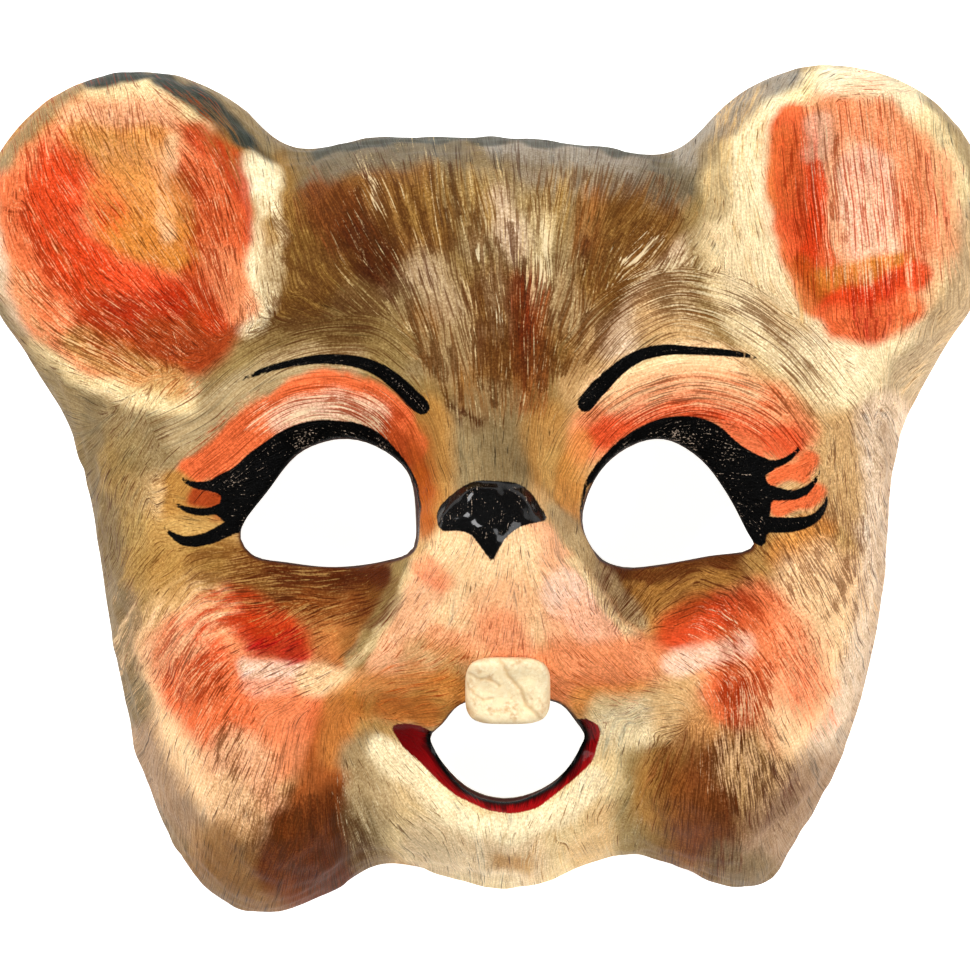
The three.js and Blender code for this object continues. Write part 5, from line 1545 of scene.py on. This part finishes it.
# The brush hairs in three sizes: length, width and detail.
HAIRS = {"wide": (18.0, 1.7, 3.0), "middle": (6.0, 0.38, 1.5), "fine": (3.5, 0.2, 2.0)}
HAIR_ROUGHNESS = 0.55
# Unevenness that doesn't follow the brush: size, detail and roughness.
SPOTS = {"grain": (0.5, 3.0, 0.6), "cloud": (9.0, 3.0, 0.55)}
# What the brush leaves in each coat and finish: how much of every size of hair and spot.
BRUSHWORK = {
    "body": {"wide": 1.4, "middle": 1.2},
    "hair": {"middle": 2.0, "fine": 1.3},
    "dry": {"wide": 0.6, "middle": -1.2, "fine": -1.2, "grain": 0.6},
    "tone": {"wide": 0.9, "middle": 1.2, "fine": 1.1, "grain": 1.3, "cloud": 0.5},
    "frayed": {"middle": 0.4, "fine": 0.3, "grain": 0.2},
    "lip light": {"wide": 5.0, "middle": 3.0},
    # painted highlights on the black paint
    "painted_glints": {"fine": 1.1, "middle": 0.6, "grain": 1.5, "cloud": 0.8},
    "ridges": {"fine": 0.25, "middle": 0.55, "wide": 0.7, "grain": 0.12},
    "matt": {"fine": -0.3, "grain": 0.2},
}
# How each coat breaks up where it thins out: how far clouds take part, and how soft its edges are.
BREAK_UP = {"body": (0.0, 0.45), "hair": (3.0, 0.13), "dry": (-2.0, 0.2)}
BREAK_SPAN = 0.72  # between the brushwork that a full coat and no coat leave bare


def streaks(tree, length, width, detail):
    """Brush hairs that follow the dabs: a value about 0 whose bands run along the strokes."""
    total, power = 0, 0
    for layer in range(DAB_LAYERS):
        dab = tree.attribute(f"dab_{layer}", "Vector")
        shows = tree.part(dab, 2)
        scaled = tree.tinted(dab, (1 / length, 1 / width, 0.0))
        total = total + (tree.noise(scaled, 1.0, detail, HAIR_ROUGHNESS) - 0.5) * shows
        power = power + shows * shows
    return total / (power**0.5)


def brushwork(tree, at):
    """The hairs and spots, and what they come to in each coat and finish, all about 0."""
    parts = {name: streaks(tree, *size) for name, size in HAIRS.items()}
    parts |= {name: tree.noise(at, *size) - 0.5 for name, size in SPOTS.items()}
    for use, shares in BRUSHWORK.items():
        parts[use] = sum(parts[name] * share for name, share in shares.items())
    return parts


def broken(tree, brush, coat):
    """Where a coat still covers as it thins out, broken up along the strokes."""
    clouded, soft = BREAK_UP[coat]
    cover = tree.attribute(coat + "_cover")
    level = (0.5 - cover * (brush["cloud"] * clouded + 1.0)) * BREAK_SPAN
    return tree.step(brush[coat], (level - soft, level + soft))


# What the warm varnish lets through of red, green and blue, and what a dark hair leaves of them.
VARNISH = (1.02, 0.97, 0.86)
HAIR_SHADE = (0.38, 0.25, 0.15)
HAIR_PIGMENT = 0.45  # how much of a hair is its own pigment and not the colour under it
HAIR_STRENGTH = 0.9
DRY_STRENGTH = 0.6
# How strongly the brushwork changes red, green and blue, in bare places and more under hairs.
TONE = (0.8, 1.0, 1.25)
TONE_DEPTH = 1.1
TONE_UNDER_HAIRS = 2.2

# Where a finish starts or ends: its distance to the outline, or else to the hole's edge.
LIPS_END = (-0.22, 0.12)
BLACK_ENDS = (-0.2, 0.1)
WEAR_ENDS = (0.1, 0.8)
WEAR_STRENGTH = 0.85
LIP_LIGHT_STARTS = (0.8, 2.6)
# The ink just inside the lips is a painted shadow.
LIP_SHADOW_ENDS = (0.5, 1.5)
WALL_ENDS = (0.6, 1.6)
# Across the mouth: where the red of the lips comes up out of its painted shade, and what it has before.
RED_COMES_UP = (-20.0, 0.0)
RED_IN_DARK = 0.15
# Painted glints on the black: pale flecks painted in as highlights of the varnish ridges.
# How high the brushwork stands there, where they thin out, and how pale they are.
PAINTED_GLINTS_FROM = (0.24, 0.4)
PAINTED_GLINTS_THIN = (-1.8, -0.7)
PAINTED_GLINTS_AT_EDGE = 0.12
PAINTED_GLINT_STRENGTH = 0.5
# The inside: the attribute's value from which a point belongs to the wall, and to the bare paper.
WALL_FROM = (0.03, 0.12)
PAPER_FROM = (0.75, 0.95)
PAPER_FIBRE = (2.2, 5.0, 0.65)
PAPER_SHEETS = (22.0, 2.0, 0.4)
PAPER_TONES = ((0.30, 0.26, 0.19, 1), (0.46, 0.42, 0.34, 1))
PAPER_PALE_FROM = (0.4, 0.62)
# The gloss: roughness of the paint and the paper, what black and lips take off it, and the clear coat.
PAINT_ROUGHNESS = 0.5
PAPER_ROUGHNESS = 0.9
BLACK_GLOSS = 0.3
LIP_GLOSS = 0.2
NOSE_COAT = 0.35
NOSE_COAT_FROM = (50.0, 56.0)  # height over the rim
LIP_COAT = 0.1
CLEAR_COAT = {"Coat Roughness": 0.1, "Specular IOR Level": 0.02}
BLACK_RIDGES = 0.5
PAPER_RIDGES = 1.2
PAINT_BUMP = 0.55


def furred(tree, brush):
    """The brushed coats under their varnish."""
    wash, body, dry, hair = (tree.attribute(coat, "Color") for coat in ("wash", "body", "dry", "hair"))
    colour = tree.mix(broken(tree, brush, "body"), wash, body)
    depth = tree.attribute("hair_cover") * TONE_UNDER_HAIRS + TONE_DEPTH
    colour = tree.shade(colour, brush["tone"] * depth, TONE)
    colour = tree.mix(broken(tree, brush, "dry") * DRY_STRENGTH, colour, dry)
    hair = tree.mix(HAIR_PIGMENT, tree.tinted(colour, HAIR_SHADE), hair)
    colour = tree.mix(broken(tree, brush, "hair") * HAIR_STRENGTH, colour, hair)
    return tree.tinted(colour, VARNISH)


def lip_red(tree, at, brush, hole_gap):
    # Painted shade: the red turns to wine near the hole and on the mouth's left, then to ink as its shadow.
    bright = tree.step(hole_gap + brush["lip light"], LIP_LIGHT_STARTS)
    bright = bright * tree.step(tree.part(at, 0), RED_COMES_UP, RED_IN_DARK, 1.0)
    red = tree.mix(bright, solid("wine"), solid("crimson"))
    return tree.mix(tree.fade(hole_gap + brush["frayed"], LIP_SHADOW_ENDS), red, solid("ink"))


def mask_paint():
    """The brushed paint, the lips and the black, and the bare paper inside."""
    tree = Tree("painted_papier_mache")
    at = tree.place()
    brush = brushwork(tree, at)
    black_gap, hole_gap = tree.attribute("black_gap"), tree.attribute("hole_gap")
    lips = tree.fade(tree.attribute("lip_gap") + brush["frayed"], LIPS_END)
    black = tree.fade(black_gap + brush["frayed"], BLACK_ENDS)
    worn = tree.fade(hole_gap + brush["frayed"], WEAR_ENDS) * WEAR_STRENGTH
    colour = tree.mix(worn, furred(tree, brush), solid("umber"))
    colour = tree.mix(lips, colour, lip_red(tree, at, brush, hole_gap))
    colour = tree.mix(black, colour, solid("ink"))
    # Painted highlights: pale flecks mixed into the black's colour where the brushwork stands high.
    painted_glints = tree.step(brush["painted_glints"], PAINTED_GLINTS_FROM) * tree.fade(black_gap, PAINTED_GLINTS_THIN, PAINTED_GLINTS_AT_EDGE)
    colour = tree.mix(painted_glints * black * PAINTED_GLINT_STRENGTH, colour, solid("shell"))
    inner = tree.attribute("inner")
    wall = tree.step(inner, WALL_FROM) * tree.fade(hole_gap, WALL_ENDS)
    bare = tree.step(inner, PAPER_FROM)
    fibre, sheets = tree.noise(at, *PAPER_FIBRE), tree.noise(at, *PAPER_SHEETS)
    paper = tree.mix(tree.step((fibre + sheets) * 0.5, PAPER_PALE_FROM), *PAPER_TONES)
    colour = tree.mix(bare, tree.mix(wall, colour, solid("maroon")), paper)
    covered = 1 - bare
    bare_lips = lips * (1 - black)
    roughness = brush["matt"] + PAINT_ROUGHNESS - black * BLACK_GLOSS - bare_lips * LIP_GLOSS
    coat = black * tree.step(tree.part(at, 2), NOSE_COAT_FROM) * NOSE_COAT + bare_lips * LIP_COAT
    ridges = brush["ridges"] + brush["grain"] * black * BLACK_RIDGES
    values = {
        "Base Color": colour,
        "Roughness": roughness * covered + bare * PAPER_ROUGHNESS,
        "Coat Weight": coat * covered,
        **CLEAR_COAT,
    }
    return tree.shaded(values, ridges * covered + (fibre - 0.5) * bare * PAPER_RIDGES, PAINT_BUMP)


def mask_shell(box):
    """The painted shell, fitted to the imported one's box, and the shift in millimetres that does it."""
    points, faces, front_faces, front_points, places = shell_surface()
    low, high = box
    scale = (high.x - low.x) / np.ptp(points[:, 0])
    centre = (points.min(axis=0) + points.max(axis=0)) / 2
    middle_x, middle_y = (low.x + high.x) / 2 / scale, (low.y + high.y) / 2 / scale
    shift = np.array([middle_x - centre[0], middle_y - centre[1], 0])
    made = mesh_object("painted_shell", (points + shift) * scale, faces)
    painted(made, points, front_points, front_faces, faces, places)
    smooth_shaded(made, SHELL_SHARP)
    made.data.materials.append(mask_paint())
    return made, shift


# The paint of the teeth: size, detail and roughness of its clouds, grain and crackle, and how strongly
# each colour lies over the one before.
TOOTH_CLOUDS = (4.0, 3.0, 0.6)
TOOTH_GRAIN = (0.7, 4.0, 0.6)
TOOTH_CRACKLE = (1.4, 4.0, 0.6)
CRACK_WIDTH = 0.015  # to either side of the crackle's middle
CREAM_FROM = (0.3, 0.5)
BONE_FROM = (0.4, 0.7)
BONE_STRENGTH = 0.6
CREASE_AND_SHADE_STRENGTH = 0.5
CRACK_STRENGTH = 0.3
# Its relief and its gloss.
TOOTH_CLOUD_RELIEF = 0.5
TOOTH_GRAIN_RELIEF = 0.15
CRACK_RELIEF = 0.08
TOOTH_BUMP = 0.6
TOOTH_ROUGHNESS = 0.45
TOOTH_GRAIN_ROUGHNESS = 0.2
TOOTH_COAT = {"Coat Weight": 0.2, "Coat Roughness": 0.3}


def tooth_paint():
    tree = Tree("tooth_paint")
    at = tree.place()
    cloud, grain, crackle = (tree.noise(at, *size) for size in (TOOTH_CLOUDS, TOOTH_GRAIN, TOOTH_CRACKLE))
    cracks = tree.step(crackle, (0.5 - CRACK_WIDTH, 0.5)) * tree.fade(crackle, (0.5, 0.5 + CRACK_WIDTH))
    colour = tree.mix(tree.step(cloud, CREAM_FROM), solid("sand"), solid("cream"))
    colour = tree.mix(tree.step(grain, BONE_FROM) * BONE_STRENGTH, colour, solid("bone"))
    # Ochre in the creases: glaze in the cracks, and painted shade along the left and bottom edges.
    colour = tree.mix(tree.attribute("crease_and_shade") * CREASE_AND_SHADE_STRENGTH, colour, solid("ochre"))
    colour = tree.mix(cracks * CRACK_STRENGTH, colour, solid("straw"))
    height = (cloud - 0.5) * TOOTH_CLOUD_RELIEF + (grain - 0.5) * TOOTH_GRAIN_RELIEF - cracks * CRACK_RELIEF
    roughness = grain * TOOTH_GRAIN_ROUGHNESS + TOOTH_ROUGHNESS
    return tree.shaded({"Base Color": colour, "Roughness": roughness, **TOOTH_COAT}, height, TOOTH_BUMP)


# Creases in the block of teeth: width, depth and the points they pass through. Their ochre is glaze in
# the cracks, and painted shade along the left and bottom edges.
TOOTH_CREASES = [
    (0.5, 0.5, [(3.4, -37), (5, -40.4), (7.6, -43.4), (8.8, -46.8), (12.6, -50)]),
    (0.7, 0.3, [(-4.8, -38), (-5, -42), (-4.6, -46), (-2.6, -49.4), (0.4, -50.8)]),
    (0.4, 0.25, [(-3.6, -39.6), (-1.4, -41), (0.8, -40.8), (3, -42.4)]),
    (0.3, 0.2, [(-2.8, -44), (-0.6, -45.4), (1.6, -45.2)]),
    (0.35, 0.2, [(0.4, -50.9), (6, -51), (13, -50.8)]),
]


def teeth_block(shift):
    """The two front teeth, one block of painted paste with a groove and creases, hung from the lip."""
    steps = TOOTH_STEPS
    mouth_x, mouth_y, _ = PLACES["mouth"]
    top = mouth_y + MOUTH_HEIGHT / 2
    middle = top - TOOTH_OVERHANG + TOOTH_LENGTH / 2
    hangs_from = middle + TOOTH_LENGTH * TOOTH_HANGS_FROM
    u, v = np.meshgrid(np.linspace(-1, 1, steps + 1), np.linspace(-1, 1, steps + 1))
    x = mouth_x + TOOTH_WIDTH / 2 * u * np.sqrt(1 - TOOTH_CORNER * v**4)
    y = middle + TOOTH_LENGTH / 2 * v * np.sqrt(1 - TOOTH_CORNER * u**4)
    edge = np.minimum(1 - np.abs(u), 1 - np.abs(v)) / TOOTH_EDGE
    pillow = np.sqrt(1 - (1 - np.minimum(edge, 1)) ** 2)
    seen_x, seen_y = as_seen(x, y, TOOTH_RISE)
    creased_and_shaded = np.zeros_like(x)
    depth = TOOTH_GROOVE * GROOVE_MIDDLE * np.exp(-((u / TOOTH_GROOVE_SHARE) ** 2))
    for width, deep, path in TOOTH_CREASES:
        mark = np.exp(-((path_gap(path, seen_x, seen_y, CREASE_REACH) / width) ** 2))
        depth += deep * mark
        creased_and_shaded = np.maximum(creased_and_shaded, mark)
    lumps = ripple(x, y, 0, TOOTH_LUMPS, seed=41)
    thick = TOOTH_THICK * (TOOTH_THIN + (1 - TOOTH_THIN) * pillow) - (depth - lumps) * pillow
    back = height(x, np.maximum(y, top)) + GLUE_GAP
    front = height(x, soft_max(y, hangs_from, TOOTH_BEND)) + GLUE_GAP + thick
    points = np.vstack([np.column_stack([x.ravel(), y.ravel(), z.ravel()]) for z in (back, front)])
    grid = np.arange((steps + 1) ** 2).reshape(steps + 1, steps + 1)
    lift = (steps + 1) ** 2
    a, b, c, d = (part.ravel() for part in (grid[:-1, :-1], grid[:-1, 1:], grid[1:, 1:], grid[1:, :-1]))
    quads = [np.column_stack([a, b, c, d]) + lift, np.column_stack([a, d, c, b])]
    border = np.concatenate([grid[0, :-1], grid[:-1, -1], grid[-1, :0:-1], grid[:0:-1, 0]])
    following = np.roll(border, -1)
    quads.append(np.column_stack([border, following, following + lift, border + lift]))
    made = mesh_object("front_teeth_block", (points + shift) * MM, np.vstack(quads))
    point_attribute(made.data, "crease_and_shade", np.concatenate([np.zeros(lift), creased_and_shaded.ravel()]))
    smooth_shaded(made, TOOTH_SHARP)
    made.data.materials.append(tooth_paint())
    return made


# The stage, in metres and watts. A lamp: its place, its size and its power.
FLOOR_SIZE = 8
FLOOR_DROP = 0.0001  # below the rim
FARTHEST_SEEN = 100
FLOOR_PAINT = {
    "Base Color": (0.86, 0.86, 0.85, 1),
    "Roughness": 0.8,
    "Emission Color": (1, 1, 1, 1),
    "Emission Strength": 0.85,
}
SKY = {"Color": (1.0, 0.99, 0.97, 1), "Strength": 0.14}
LAMPS = {"key": ((-0.9, 0.8, 1.4), 0.7, 36.0), "fill": ((1.2, -0.5, 1.3), 0.9, 22.0)}


def stage():
    """A pale floor that is clear from below, a faint sky and two soft lamps."""
    tree = Tree("pale_floor")
    paint = tree.node("ShaderNodeBsdfPrincipled", {}, FLOOR_PAINT)
    clear = tree.node("ShaderNodeBsdfTransparent")
    below = tree.node("ShaderNodeNewGeometry", output="Backfacing")
    shown = tree.node("ShaderNodeMixShader", {}, {0: below, 1: paint, 2: clear})
    bpy.ops.mesh.primitive_plane_add(size=FLOOR_SIZE, location=(0, 0, -FLOOR_DROP))
    floor = bpy.context.object
    floor.name = "floor"
    floor.data.materials.append(tree.finished(shown))
    world = bpy.data.worlds.new("studio")
    world.use_nodes = True
    for name, value in SKY.items():
        world.node_tree.nodes["Background"].inputs[name].default_value = value
    scene = bpy.context.scene
    scene.view_settings.view_transform = "Standard"
    scene.world = world
    for name, (place, size, power) in LAMPS.items():
        light = bpy.data.lights.new(name, "AREA")
        light.size = size
        light.energy = power
        lamp = in_scene(name, light)
        lamp.location = place
        lamp.rotation_mode = "QUATERNION"
        lamp.rotation_quaternion = (-lamp.location).to_track_quat("-Z", "Y")


def camera(shift):
    data = bpy.data.cameras.new("camera")
    data.sensor_width = SENSOR
    data.lens = SENSOR * CAMERA_RISE / VIEW_WIDTH
    data.clip_end = FARTHEST_SEEN
    made = in_scene("camera", data)
    made.location = ((CAMERA_AXIS[0] + shift[0]) * MM, (CAMERA_AXIS[1] + shift[1]) * MM, CAMERA_RISE * MM)
    bpy.context.scene.camera = made


def main():
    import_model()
    stage()
    shell, shift = mask_shell(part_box("mask_shell"))
    teeth = teeth_block(shift)
    camera(shift)
    for piece, node, slot in (
        (shell, "mask_shell", "painted_papier_mache"),
        (teeth, "front_teeth", "tooth_paint"),
    ):
        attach(piece, "root")
        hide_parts(node)


main()
